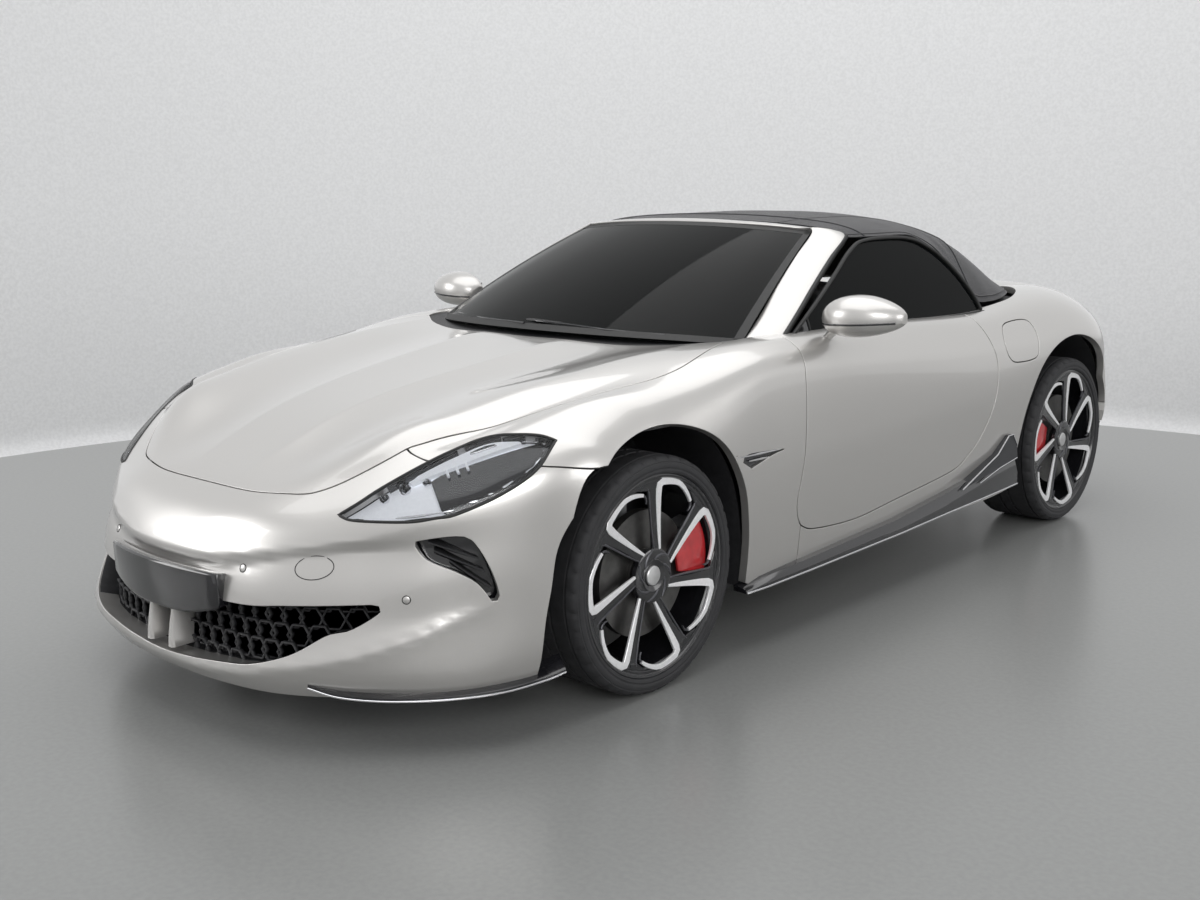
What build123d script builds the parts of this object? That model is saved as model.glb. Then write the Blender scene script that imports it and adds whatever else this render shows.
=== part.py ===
from build123d import *
import math
import os

# A two-seat roadster with a fabric roof, as separate pieces that move as the real ones do.
# Millimetres. The car stands on z = 0 with its nose towards -Y and its left side towards +X, and
# the origin is under the middle of its length. Body outlines are drawn as (x, s, z), where s runs
# back from the front axle; across(), along() and above() carry them to the size that is set here.

# ---------------------------------------------------------------- driving dimensions
LENGTH = 4535.0
WIDTH = 1913.0
HEIGHT = 1328.0
WHEELBASE = 2690.0
FRONT_OVERHANG = 1040.0
FRONT_TRACK = 1618.0
REAR_TRACK = 1606.0

FRONT_TYRE_RADIUS = 352.0
FRONT_TYRE_WIDTH = 245.0
REAR_TYRE_RADIUS = 350.0
REAR_TYRE_WIDTH = 275.0
TYRE_WALL = 14.0
RIM_RADIUS = 281.0
RIM_WALL = 9.0
RIM_INSET = 8.0
SPOKE_COUNT = 7
SPOKE_DEPTH = 26.0
SPOKE_INSET = 14.0
HUB_RADIUS = 74.0
DISC_RADIUS = 188.0
DISC_THICKNESS = 28.0
DISC_SETBACK = 12.0
CALIPER_WALL = 16.0
CALIPER_GAP = 5.5
CALIPER_HALF = 78.0
CALIPER_TURN_FRONT = -80.0
CALIPER_TURN_REAR = 80.0
STUB_RADIUS = 27.0
KINGPIN_INSET = 52.0
KINGPIN_RADIUS = 11.0
POST_ABOVE = 205.0
POST_BELOW = 118.0
PIN_DEPTH = 42.0
ARM_WALL = 20.0
ARM_HALF = 42.0
DAMPER_RADIUS = 27.0
STEER_ARM_GAP = 5.0
RUNNING_GAP = 0.1

PANEL_WALL = 26.0
TRAY_WALL = 26.0
DOOR_WALL = 95.0
DOOR_TAPER = 40.0
DOOR_FRONT_TAPER = 8.0
DOOR_GAP = 8.0
LID_GAP = 8.0
GLASS_WALL = 5.0
WINDOW_LAP = 10.0
LAMP_DEPTH = 70.0
GRILLE_WALL = 16.0
GRILLE_LAP = 12.0
FLAP_WALL = 12.0
FLAP_GAP = 13.0
SKIRT_OUTER_X = 962.0
ROOF_WALL = 18.0
PLATE_WALL = 12.0
PLATE_GAP = 5.0
FRONT_ARCH_GAP = 50.0
REAR_ARCH_GAP = 46.0
ARCH_RISE = 8.0
FRONT_WELL_INNER_X = 470.0
REAR_WELL_INNER_X = 600.0
LINER_WALL = 6.0
FLOOR_Z = 316.0
FLOOR_TOP = 338.0
BULKHEAD_WALL = 24.0
BATTERY_Z = 214.0
BONNET_PIN_RADIUS = 6.0
BOOT_PIN_RADIUS = 5.0
LUG_WALL = 4.0

# the size at which the outlines are drawn
DRAWN_HALF_WIDTH = 956.5
DRAWN_HEIGHT = 1328.0
DRAWN_WHEELBASE = 2690.0
DRAWN_FRONT_OVERHANG = 1040.0
DRAWN_REAR_OVERHANG = 805.0

FRONT_AXLE_Y = -LENGTH / 2 + FRONT_OVERHANG
REAR_AXLE_Y = FRONT_AXLE_Y + WHEELBASE
REAR_OVERHANG = LENGTH - FRONT_OVERHANG - WHEELBASE
FAR = 3000.0


def across(x):
    return x * (WIDTH / 2) / DRAWN_HALF_WIDTH


def above(z):
    return z * HEIGHT / DRAWN_HEIGHT


def along(s):
    if s < 0:
        return FRONT_AXLE_Y + s * FRONT_OVERHANG / DRAWN_FRONT_OVERHANG
    if s <= DRAWN_WHEELBASE:
        return FRONT_AXLE_Y + s * WHEELBASE / DRAWN_WHEELBASE
    return REAR_AXLE_Y + (s - DRAWN_WHEELBASE) * REAR_OVERHANG / DRAWN_REAR_OVERHANG


def at(x, s, z):
    return (across(x), along(s), above(z))


# ---------------------------------------------------------------- outlines and blocks
# Points run round each outline; a grown outline is offset by a gap with square corners.
def outline(points, grow=0.0):
    shape = Polygon(*points, align=None)
    return offset(shape, amount=grow, kind=Kind.INTERSECTION) if grow else shape


def plan_prism(points, low, high, grow=0.0):
    """A column whose outline is drawn from above as (x, s)."""
    shape = outline([(across(x), along(s)) for x, s in points], grow)
    return extrude(Plane.XY.offset(above(low)) * shape, amount=above(high) - above(low),
                   dir=(0, 0, 1))


def side_prism(points, inner, outer, grow=0.0, taper=0.0):
    """A bar whose outline is drawn from the side as (s, z), tapering from its outer end inwards."""
    shape = outline([(along(s), above(z)) for s, z in points], grow)
    plane = Plane(origin=(across(outer), 0, 0), x_dir=(0, 1, 0), z_dir=(1, 0, 0))
    return extrude(plane * shape, amount=across(outer - inner), dir=(-1, 0, 0), taper=taper)


def front_prism(points, start, end, grow=0.0):
    """A bar whose outline is drawn from the front as (x, z)."""
    shape = outline([(across(x), above(z)) for x, z in points], grow)
    return extrude(Plane.XZ.offset(-along(start)) * shape,
                   amount=along(end) - along(start), dir=(0, 1, 0))


def block(x0, x1, s0, s1, z0, z1):
    low, high = at(x0, s0, z0), at(x1, s1, z1)
    size = [b - a for a, b in zip(low, high)]
    return Pos(*[(a + b) / 2 for a, b in zip(low, high)]) * Box(*size)


def real_block(x0, x1, y0, y1, z0, z1):
    return Pos((x0 + x1) / 2, (y0 + y1) / 2, (z0 + z1) / 2) * Box(x1 - x0, y1 - y0, z1 - z0)


def side_block(side, x0, x1, *rest):
    """A drawn block on one side of the car, its x counted outwards from the middle."""
    low, high = sorted((side * x0, side * x1))
    return block(low, high, *rest)


def side_bar(side, x0, x1, middle, half, z0, z1):
    """A real-size bar on one side of the car, a half width either way of its middle line."""
    low, high = sorted((side * x0, side * x1))
    return real_block(low, high, middle - half, middle + half, z0, z1)


def across_rod(radius, x0, x1, y, z):
    """A round bar along X from x0 to x1."""
    return Pos((x0 + x1) / 2, y, z) * Rot(0, 90, 0) * Cylinder(radius, x1 - x0)


def upright_rod(radius, x, y, z0, z1):
    return Pos(x, y, (z0 + z1) / 2) * Cylinder(radius, z1 - z0)


def mirrored(shape):
    return mirror(shape, about=Plane.YZ)


def both(shape):
    return [shape, mirrored(shape)]


# ---------------------------------------------------------------- body shell
# s, z_mid, x_crest, z_crest, x_bend, z_bend, x_wide, z_wide, x_foot, z_foot
BODY_SECTIONS = [
    (-1040, 300, 120, 296, 190, 280, 230, 240, 210, 175),
    (-1015, 490, 200, 484, 290, 450, 340, 330, 310, 160),
    (-970, 608, 240, 598, 380, 550, 445, 370, 410, 150),
    (-900, 674, 330, 657, 490, 605, 555, 410, 520, 148),
    (-780, 714, 430, 702, 600, 645, 675, 450, 640, 145),
    (-600, 772, 560, 774, 755, 705, 840, 510, 805, 142),
    (-350, 843, 620, 862, 860, 790, 920, 580, 900, 145),
    (0, 895, 640, 915, 890, 845, 952, 640, 942, 160),
    (350, 935, 680, 940, 890, 878, 946, 620, 930, 165),
    (700, 955, 720, 955, 890, 890, 938, 600, 905, 170),
    (1300, 950, 760, 950, 895, 870, 932, 590, 898, 175),
    (1900, 950, 760, 955, 895, 870, 938, 600, 898, 180),
    (2300, 955, 750, 985, 905, 880, 948, 620, 905, 185),
    (2690, 955, 740, 985, 915, 865, 956.5, 640, 925, 190),
    (3000, 950, 720, 940, 890, 835, 940, 610, 900, 210),
    (3240, 948, 660, 912, 835, 805, 892, 590, 860, 230),
    (3410, 945, 560, 905, 720, 800, 785, 570, 760, 255),
    (3495, 905, 420, 875, 560, 790, 640, 560, 610, 300),
]
BELLY = 8.0


def body_section(row, wall):
    """One closed cross-section of the body, drawn a wall's thickness inside the skin."""
    s, z_mid, x_crest, z_crest, x_bend, z_bend, x_wide, z_wide, x_foot, z_foot = row
    mid = (0, z_mid - wall)
    crest = (x_crest - 0.3 * wall, z_crest - wall)
    bend = (x_bend - 0.7 * wall, z_bend - 0.75 * wall)
    wide = (x_wide - wall, z_wide)
    foot = (x_foot - wall, z_foot + min(wall, TRAY_WALL))
    belly = ((wide[0] + foot[0]) / 2 + BELLY, (wide[1] + foot[1]) / 2)

    def put(point, side):
        return at(side * point[0], s, point[1])

    edges = [Line(put(mid, 1), put(crest, 1)),
             ThreePointArc(put(crest, 1), put(bend, 1), put(wide, 1)),
             ThreePointArc(put(wide, 1), put(belly, 1), put(foot, 1)),
             Line(put(foot, 1), put(foot, -1)),
             ThreePointArc(put(foot, -1), put(belly, -1), put(wide, -1)),
             ThreePointArc(put(wide, -1), put(bend, -1), put(crest, -1)),
             Line(put(crest, -1), put(mid, -1))]
    return Face(Wire(edges))


def body_loft(wall):
    rows = BODY_SECTIONS if wall == 0 else BODY_SECTIONS[1:-1]
    return loft([body_section(row, wall) for row in rows], ruled=True)


def inside_body():
    """The space that the body's skin encloses."""
    return body_loft(PANEL_WALL)


def half_and_half(points):
    """Closes an outline that is drawn for x >= 0 from its front middle to its rear middle."""
    return points + [(-x, s) for x, s in reversed(points) if x > 0]


BONNET_OUTLINE = half_and_half([
    (0, -930), (200, -905), (360, -844), (475, -771), (585, -608), (705, -362), (765, -143),
    (800, 60), (800, 250), (720, 560), (560, 470), (300, 395), (0, 375)])
LAMP_OUTLINE = [(598, -870), (625, -800), (668, -700), (708, -600), (748, -500), (795, -420),
                (860, -360), (885, -420), (868, -520), (835, -620), (790, -710), (735, -790),
                (660, -850)]
DOOR_INNER_X, DOOR_TOP_INNER_X, DOOR_SKIN_X, DOOR_OUTER_X = 745, 796, 930, 1040
DOOR_OUTLINE = [(737, 1100), (737, 776), (727, 613), (711, 516), (695, 436), (712, 382),
                (747, 348), (828, 325), (1074, 311), (1338, 333), (1623, 357), (1774, 378),
                (1969, 457), (2044, 566), (2064, 684), (2074, 800), (2076, 1100)]
DOOR_SHOULDER = [(737, 1010), (737, 872), (2076, 872), (2095, 900), (2190, 942), (2225, 1010)]
DOOR_FRONT_END, DOOR_FRONT_FOOT = 1000, 450
LAMP_BAND = [(-900, 588), (-345, 728), (-345, 1000), (-900, 1000)]
BOOT_OUTLINE = half_and_half([(0, 2880), (430, 2880), (540, 2930), (560, 3040), (510, 3370),
                              (0, 3400)])
FLAP_OUTLINE = [(2115, 760), (2145, 735), (2345, 735), (2375, 760), (2375, 870), (2345, 895),
                (2145, 895), (2115, 870)]
CABIN_OUTLINE = half_and_half([(0, 545), (330, 560), (560, 625), (690, 760), (765, 830),
                               (800, 960), (800, 1960), (765, 2080), (762, 2240), (640, 2330),
                               (0, 2380)])
GRILLE_OPENING = [(-560, 385), (-470, 200), (470, 200), (560, 385)]
VENT_OPENING = [(-830, 612), (-640, 572), (-585, 440), (-600, 415)]


def front_well(grow=0.0):
    return across_rod(FRONT_TYRE_RADIUS + FRONT_ARCH_GAP + grow, FRONT_WELL_INNER_X - grow,
                      FAR / 2, FRONT_AXLE_Y, FRONT_TYRE_RADIUS + ARCH_RISE)


def rear_well(grow=0.0):
    return across_rod(REAR_TYRE_RADIUS + REAR_ARCH_GAP + grow, REAR_WELL_INNER_X - grow,
                      FAR / 2, REAR_AXLE_Y, REAR_TYRE_RADIUS + ARCH_RISE)


def door_opening(grow):
    """The door's outline on the skin, carried in with a wide taper, and square along its top."""
    widen = across(DOOR_OUTER_X - DOOR_SKIN_X)
    rear_grow = grow + widen * math.tan(math.radians(DOOR_TAPER))
    front_grow = grow + widen * math.tan(math.radians(DOOR_FRONT_TAPER))
    side = side_prism(DOOR_OUTLINE, DOOR_INNER_X, DOOR_OUTER_X, rear_grow, DOOR_TAPER)
    front = side_prism(DOOR_OUTLINE, DOOR_INNER_X, DOOR_OUTER_X, front_grow, DOOR_FRONT_TAPER)
    front = front & block(700, 1100, 0, DOOR_FRONT_END, DOOR_FRONT_FOOT - grow, 1200)
    shoulder = side_prism(DOOR_SHOULDER, DOOR_TOP_INNER_X - grow, DOOR_OUTER_X, grow)
    side = side - block(0, DOOR_TOP_INNER_X - grow, 0, 3000, 860, 1200)
    front = front - block(0, DOOR_TOP_INNER_X - grow, 0, 3000, 860, 1200)
    return side + front + shoulder


SIDE_GLASS = [(800, 930), (800, 990), (1170, 1160), (1330, 1226), (1470, 1250), (1740, 1246),
              (1900, 1195), (2010, 1120), (2105, 1010), (2140, 930)]
GLASS_FOOT_X, GLASS_FOOT_Z = 812, 930
GLASS_HEAD_X, GLASS_HEAD_Z = 655, 1290


def side_pane():
    """The left side glass: a flat sheet that leans in towards the roof."""
    inner_foot, inner_head = GLASS_FOOT_X - GLASS_WALL, GLASS_HEAD_X - GLASS_WALL
    sheet = front_prism([(GLASS_FOOT_X, GLASS_FOOT_Z), (GLASS_HEAD_X, GLASS_HEAD_Z),
                         (inner_head, GLASS_HEAD_Z), (inner_foot, GLASS_FOOT_Z)], 600, 2400)
    return sheet & side_prism(SIDE_GLASS, 500, 1000)

# ---------------------------------------------------------------- windscreen and roof
# half width, s at the side, s at the middle, z
SCREEN_FOOT = (735, 650, 420, 930)
SCREEN_HEAD = (560, 1300, 1235, 1292)
FRAME_FOOT = (795, 670, 420, 930)
FRAME_HEAD = (628, 1350, 1262, 1300)
SCREEN_RUN = 14.0
FRAME_RUN = 62.0


def screen_ring(row, run):
    half, s_side, s_mid, z = row
    front = ThreePointArc(at(-half, s_side, z), at(0, s_mid, z), at(half, s_side, z))
    back = ThreePointArc(at(half, s_side + run, z), at(0, s_mid + run, z),
                         at(-half, s_side + run, z))
    return Face(Wire([front, Line(front @ 1, back @ 0), back, Line(back @ 1, front @ 0)]))


def screen_slab(foot, head, run):
    return loft([screen_ring(foot, run), screen_ring(head, run)], ruled=True)


# s, z_mid, x_edge, z_edge, x_foot
ROOF_SECTIONS = [
    (1285, 1304, 606, 1268, 700),
    (1420, 1319, 632, 1262, 730),
    (1750, 1328, 640, 1262, 760),
    (2000, 1318, 650, 1225, 775),
    (2200, 1284, 650, 1165, 780),
    (2420, 1224, 640, 1090, 765),
    (2640, 1128, 590, 1020, 700),
    (2830, 992, 480, 965, 560),
]
ROOF_FOOT_Z = 900


def roof_section(row, wall):
    s, z_mid, x_edge, z_edge, x_foot = row
    mid = (0, z_mid - wall)
    edge = (x_edge - 0.8 * wall, z_edge - 0.7 * wall)
    foot = (x_foot - wall, ROOF_FOOT_Z)

    def put(point, side):
        return at(side * point[0], s, point[1])

    edges = [ThreePointArc(put(edge, -1), put(mid, 1), put(edge, 1)),
             Line(put(edge, 1), put(foot, 1)),
             Line(put(foot, 1), put(foot, -1)),
             Line(put(foot, -1), put(edge, -1))]
    return Face(Wire(edges))


def roof_loft(wall):
    return loft([roof_section(row, wall) for row in ROOF_SECTIONS], ruled=True)


# ---------------------------------------------------------------- wheels
SPOKE_WIDTH, SPOKE_LEAN = 26.0, 9.0
HUB_LAP, RIM_LAP = 14.0, 2.0
TYRE_SHOULDER, TYRE_CHEEK = 22.0, 20.0
NUT_DEPTH = 8.0
UPRIGHT_BOSS_RADIUS = 62.0
POST_HALF_X, POST_HALF_Y = 22.0, 34.0
CALIPER_REACH = 6.0
BRACKET_REACH, BRACKET_HALF = 14.0, 50.0


def revolved(profile, axle_y, axle_z):
    """Turns a profile of (x, radius) points about a wheel's axle."""
    face = Plane.XZ * Polygon(*profile, align=None)
    return Pos(0, axle_y, axle_z) * revolve(face, Axis.X)


def wheel_places():
    """name, side, axle y, wheel centre x, tyre radius, tyre width"""
    rows = []
    for end, y, track, radius, width in (
            ("front", FRONT_AXLE_Y, FRONT_TRACK, FRONT_TYRE_RADIUS, FRONT_TYRE_WIDTH),
            ("rear", REAR_AXLE_Y, REAR_TRACK, REAR_TYRE_RADIUS, REAR_TYRE_WIDTH)):
        for side_name, side in (("left", 1), ("right", -1)):
            rows.append((f"{end}_{side_name}", side, y, track / 2, radius, width))
    return rows


def hub_face_x(centre, width):
    """Where the wheel bolts to its hub: the inner face of its spokes."""
    return centre + width / 2 - RIM_INSET - SPOKE_INSET - SPOKE_DEPTH


def disc_faces(centre, width):
    """The inner and outer faces of the brake disc's rotor."""
    outer = hub_face_x(centre, width) - DISC_SETBACK
    return outer - DISC_THICKNESS, outer


def tyre(y, centre, radius, width):
    half, liner = width / 2, TYRE_WALL / 2
    outside = [(RIM_INSET, RIM_RADIUS), (0, RIM_RADIUS + TYRE_CHEEK),
               (0, radius - TYRE_SHOULDER), (TYRE_SHOULDER, radius)]
    inside = [(TYRE_SHOULDER + liner, radius - TYRE_WALL),
              (TYRE_WALL, radius - TYRE_SHOULDER - liner), (RIM_INSET + TYRE_WALL, RIM_RADIUS)]
    low = [(centre - half + inset, r) for inset, r in outside]
    high = [(centre + half - inset, r) for inset, r in reversed(outside)]
    back = [(centre + half - inset, r) for inset, r in reversed(inside)]
    front = [(centre - half + inset, r) for inset, r in inside]
    return revolved(low + high + back + front, y, radius)


def rim(y, centre, radius, width):
    low, high = centre - width / 2 + RIM_INSET, centre + width / 2 - RIM_INSET
    barrel = revolved([(low, RIM_RADIUS), (high, RIM_RADIUS), (high, RIM_RADIUS - RIM_WALL),
                       (low, RIM_RADIUS - RIM_WALL)], y, radius)
    face = hub_face_x(centre, width)
    hub = across_rod(HUB_RADIUS, face, face + SPOKE_DEPTH, y, radius)
    shape = barrel + hub
    start, end = HUB_RADIUS - HUB_LAP, RIM_RADIUS - RIM_WALL + RIM_LAP
    spoke = real_block(face, face + SPOKE_DEPTH, -SPOKE_WIDTH / 2, SPOKE_WIDTH / 2, start, end)
    for n in range(SPOKE_COUNT):
        for lean in (-SPOKE_LEAN, SPOKE_LEAN):
            shape += Pos(0, y, radius) * Rot(360.0 * n / SPOKE_COUNT + lean, 0, 0) * spoke
    bore = across_rod(STUB_RADIUS + RUNNING_GAP, face - 1, face + SPOKE_DEPTH - NUT_DEPTH,
                      y, radius)
    return shape - bore


def brake_disc(y, centre, radius, width):
    face = hub_face_x(centre, width)
    disc_in, disc_out = disc_faces(centre, width)
    disc = across_rod(DISC_RADIUS, disc_in, disc_out, y, radius)
    bell = across_rod(HUB_RADIUS, disc_in, face, y, radius)
    bore = across_rod(STUB_RADIUS + RUNNING_GAP, disc_in - 1, face + 1, y, radius)
    return disc + bell - bore


def caliper(centre, width):
    """A block that straddles the disc's upper edge, drawn about the axle at y = 0, z = 0."""
    disc_in, disc_out = disc_faces(centre, width)
    outer = RIM_RADIUS - RIM_WALL - CALIPER_GAP
    inner = (HUB_RADIUS + DISC_RADIUS) / 2 - CALIPER_GAP
    x0 = disc_in - CALIPER_GAP - 1.6 * CALIPER_WALL
    x1 = disc_out + CALIPER_GAP + CALIPER_REACH
    ring = across_rod(outer, x0, x1, 0, 0) - across_rod(inner, x0 - 1, x1 + 1, 0, 0)
    slot = across_rod(DISC_RADIUS + CALIPER_GAP, disc_in - CALIPER_GAP, FAR, 0, 0)
    window = real_block(x0 - 1, x1 + 1, -CALIPER_HALF, CALIPER_HALF, 0, outer + 1)
    return (ring & window) - slot


def knuckle(y, centre, radius, width, turn, steered):
    """The upright that a wheel turns on; a steered one turns about two upright pins."""
    face = hub_face_x(centre, width)
    disc_in = disc_faces(centre, width)[0]
    pin_x = centre - KINGPIN_INSET
    post = real_block(pin_x - POST_HALF_X, pin_x + POST_HALF_X, y - POST_HALF_Y,
                      y + POST_HALF_Y, radius - POST_BELOW, radius + POST_ABOVE)
    boss = across_rod(UPRIGHT_BOSS_RADIUS, pin_x - POST_HALF_X, disc_in - CALIPER_GAP, y, radius)
    stub = across_rod(STUB_RADIUS, pin_x, face + SPOKE_DEPTH - NUT_DEPTH - 1, y, radius)
    bracket = real_block(pin_x - BRACKET_REACH, disc_in - CALIPER_GAP - CALIPER_WALL,
                         -BRACKET_HALF, BRACKET_HALF, 0, DISC_RADIUS + CALIPER_WALL)
    turned = Pos(0, y, radius) * Rot(turn, 0, 0) * (bracket + caliper(centre, width))
    body = post + boss + stub + turned
    if not steered:
        return body
    for low, high in ((radius + POST_ABOVE - PIN_DEPTH, radius + POST_ABOVE + 1),
                      (radius - POST_BELOW - 1, radius - POST_BELOW + PIN_DEPTH)):
        body -= upright_rod(KINGPIN_RADIUS + RUNNING_GAP, pin_x, y, low, high)
    return body


# ---------------------------------------------------------------- the body's panels
class Shell:
    """The body's skin, from which each fixed panel takes its share and leaves the rest."""

    def __init__(self, solid):
        self.rest = solid

    def take(self, *regions):
        region = regions[0]
        for other in regions[1:]:
            region = region + other
        share = self.rest & region
        self.rest = self.rest - region
        return share


def make_panels(nodes):
    skin = body_loft(0)
    shell = skin - body_loft(PANEL_WALL)
    doors = both(door_opening(0))
    door_gaps = both(door_opening(DOOR_GAP))
    lamps = both(plan_prism(LAMP_OUTLINE, 480, 1100) & side_prism(LAMP_BAND, 500, 1000))
    wells = both(front_well()) + both(rear_well())
    flap = side_prism(FLAP_OUTLINE, 780, 1040)

    door_solid = skin - body_loft(DOOR_WALL)
    nodes["door_left"] = door_solid & doors[0]
    nodes["door_right"] = door_solid & doors[1]
    nodes["bonnet"] = shell & plan_prism(BONNET_OUTLINE, 560, 1100)
    nodes["boot_lid"] = shell & plan_prism(BOOT_OUTLINE, 760, 1100)
    nodes["charge_flap"] = (skin - body_loft(FLAP_WALL)) & flap
    lamp_shell = skin - body_loft(LAMP_DEPTH)
    lined_wells = both(front_well(LINER_WALL))
    nodes["headlamps"] = [(lamp_shell & lamp) - well for lamp, well in zip(lamps, lined_wells)]

    fixed = shell - plate_recess()
    for cut in (door_gaps + lamps + wells + [
            plan_prism(BONNET_OUTLINE, 560, 1100, LID_GAP),
            plan_prism(BOOT_OUTLINE, 760, 1100, LID_GAP),
            side_prism(FLAP_OUTLINE, 780, 1040, FLAP_GAP),
            *both(hinge_pocket(BONNET_HINGE)), *both(hinge_pocket(BOOT_HINGE)),
            plan_prism(CABIN_OUTLINE, 560, 1100),
            front_prism(GRILLE_OPENING, -1060, -700)]):
        fixed = fixed - cut
    for vent in both(front_prism(VENT_OPENING, -900, -520)):
        fixed = fixed - vent

    panels = Shell(fixed)
    nodes["rear_diffuser"] = panels.take(block(-560, 560, 3080, 3500, 100, 360))
    nodes["tail_lamps"] = panels.take(block(-900, 900, 3270, 3500, 782, 818))
    nodes["front_bumper"] = panels.take(block(-1000, 1000, -1060, -400, 100, 520),
                                        block(780, 1000, -410, -200, 100, 520),
                                        block(-1000, -780, -410, -200, 100, 520))
    nodes["nose_panel"] = panels.take(block(-860, 860, -1060, -400, 520, 1000))
    nodes["cowl"] = panels.take(block(-600, 600, 300, 800, 700, 1000))
    nodes["undertray"] = panels.take(block(-780, 780, -400, 3080, 100, 300))
    nodes["side_sills"] = panels.take(block(-1000, 1000, 330, 2400, 100, 420))
    nodes["front_fenders"] = panels.take(block(-1000, 1000, -500, 900, 100, 1050))
    nodes["rear_bumper"] = panels.take(block(-1000, 1000, 3080, 3500, 200, 735))
    nodes["rear_deck"] = panels.take(block(-620, 620, 2300, 2905, 800, 1050))
    nodes["rear_quarters"] = panels.take(block(-1000, 1000, 1900, 3500, 100, 1050))
    return skin


def make_grilles(nodes):
    """Mesh panels that lie against the back of the bumper, behind its openings."""
    layer = inside_body() - body_loft(PANEL_WALL + GRILLE_WALL)
    nodes["grille"] = layer & front_prism(GRILLE_OPENING, -1060, -700, GRILLE_LAP)
    nodes["side_vents"] = both(layer & front_prism(VENT_OPENING, -900, -520, GRILLE_LAP))


# ---------------------------------------------------------------- hinges of the lids
# x of the left hinge, s, z, pin radius, reach of the lid's arm along s
BONNET_HINGE = (670, 600, 939, BONNET_PIN_RADIUS, -95.0)
BOOT_HINGE = (400, 2850, 945, BOOT_PIN_RADIUS, 62.0)
HINGE_HALF = 13.0
POCKET_HALF = 22.0
POCKET_FRONT, POCKET_BACK, POCKET_DROP = 110.0, 18.0, 40.0
ARM_DROP = 14.0
PIN_SEAT = 3.0


def hinge_pocket(hinge):
    """The room that a lid's arm swings in, open towards the lid."""
    x, s, z, pin_radius, reach = hinge
    back, front = (POCKET_BACK, POCKET_FRONT) if reach > 0 else (POCKET_FRONT, POCKET_BACK)
    return block(x - POCKET_HALF, x + POCKET_HALF, s - back, s + min(front, abs(reach) + 5),
                 z - POCKET_DROP, z + POCKET_DROP)


def hinge_lug(hinge):
    """A lid's arm with its eye, from the pin to the lid."""
    x, s, z, pin_radius, reach = hinge
    x, y, z = at(x, s, z)
    eye_radius = pin_radius + LUG_WALL
    low, high = sorted((y, y + reach))
    foot = z - eye_radius - ARM_DROP
    eye = across_rod(eye_radius, x - HINGE_HALF, x + HINGE_HALF, y, z)
    arm = real_block(x - HINGE_HALF, x + HINGE_HALF, low, high, foot, foot + ARM_DROP + 2)
    riser = real_block(x - HINGE_HALF, x + HINGE_HALF, y - eye_radius + 1, y + eye_radius - 1,
                       foot, z)
    bore = across_rod(pin_radius + RUNNING_GAP, x - FAR, x + FAR, y, z)
    return eye + arm + riser - bore


def hinge_pin(hinge):
    x, s, z, pin_radius, reach = hinge
    x, y, z = at(x, s, z)
    half = across(POCKET_HALF) + PIN_SEAT
    return across_rod(pin_radius, x - half, x + half, y, z)


def add_lid_hinges(nodes, skin):
    for lid, hinge in (("bonnet", BONNET_HINGE), ("boot_lid", BOOT_HINGE)):
        for lug in both(hinge_lug(hinge)):
            nodes[lid] = nodes[lid] + (lug & skin)
    pins = both(hinge_pin(BONNET_HINGE)) + both(hinge_pin(BOOT_HINGE))
    for panel in ("cowl", "front_fenders", "rear_deck"):
        for pin in pins:
            nodes[panel] = [piece - pin for piece in solids_of(nodes[panel])]
    nodes["hinge_pins"] = pins


DOOR_HINGE = (860, 729, 934)
DOOR_HINGE_TILT = 23.0
DOOR_HINGE_SWEEP = 27.0
DOOR_PIN_RADIUS = 8.0
DOOR_PIN_REACH, DOOR_PIN_LENGTH = 112.0, 72.0
DOOR_EYE_RADIUS = 19.0
DOOR_EYE_REACH, DOOR_EYE_LENGTH = 72.0, 30.0


def door_hinge_plane(inboard):
    """Across the left door's hinge line, a distance inboard of the point that sets it."""
    lean, sweep = math.radians(DOOR_HINGE_TILT), math.radians(DOOR_HINGE_SWEEP)
    line = Vector(math.cos(lean), -math.sin(sweep), -math.sin(lean)).normalized()
    return Plane(origin=Vector(*at(*DOOR_HINGE)) - line * inboard, z_dir=line)


def add_door_hinges(nodes):
    """A pin at the foot of each windscreen pillar, and the eye on the door that turns on it."""
    pin = extrude(door_hinge_plane(DOOR_PIN_REACH) * Circle(DOOR_PIN_RADIUS),
                  amount=DOOR_PIN_LENGTH)
    eye = extrude(door_hinge_plane(DOOR_EYE_REACH) * Circle(DOOR_EYE_RADIUS),
                  amount=DOOR_EYE_LENGTH)
    foot = block(799, 822, 745, 782, 928, 956)
    bore = extrude(door_hinge_plane(FAR / 10) * Circle(DOOR_PIN_RADIUS + RUNNING_GAP),
                   amount=FAR / 10)
    for name, lug, hole, rod in zip(("door_left", "door_right"), both(eye + foot), both(bore),
                                    both(pin)):
        nodes[name] = nodes[name] + lug - hole
        nodes["windscreen_frame"] = [piece - rod for piece in solids_of(nodes["windscreen_frame"])]
    nodes["hinge_pins"] = nodes["hinge_pins"] + both(pin)


# an upright hinge line where the skin beside the flap's front edge stands furthest out
FLAP_HINGE = (951, 2110, 772)
FLAP_PIN_RADIUS = 1.6
FLAP_BARREL_RADIUS = 3.6
FLAP_BARREL_HALF, FLAP_EAR_HALF = 11.0, 19.0
FLAP_WEB_DEPTH = 9.0


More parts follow.
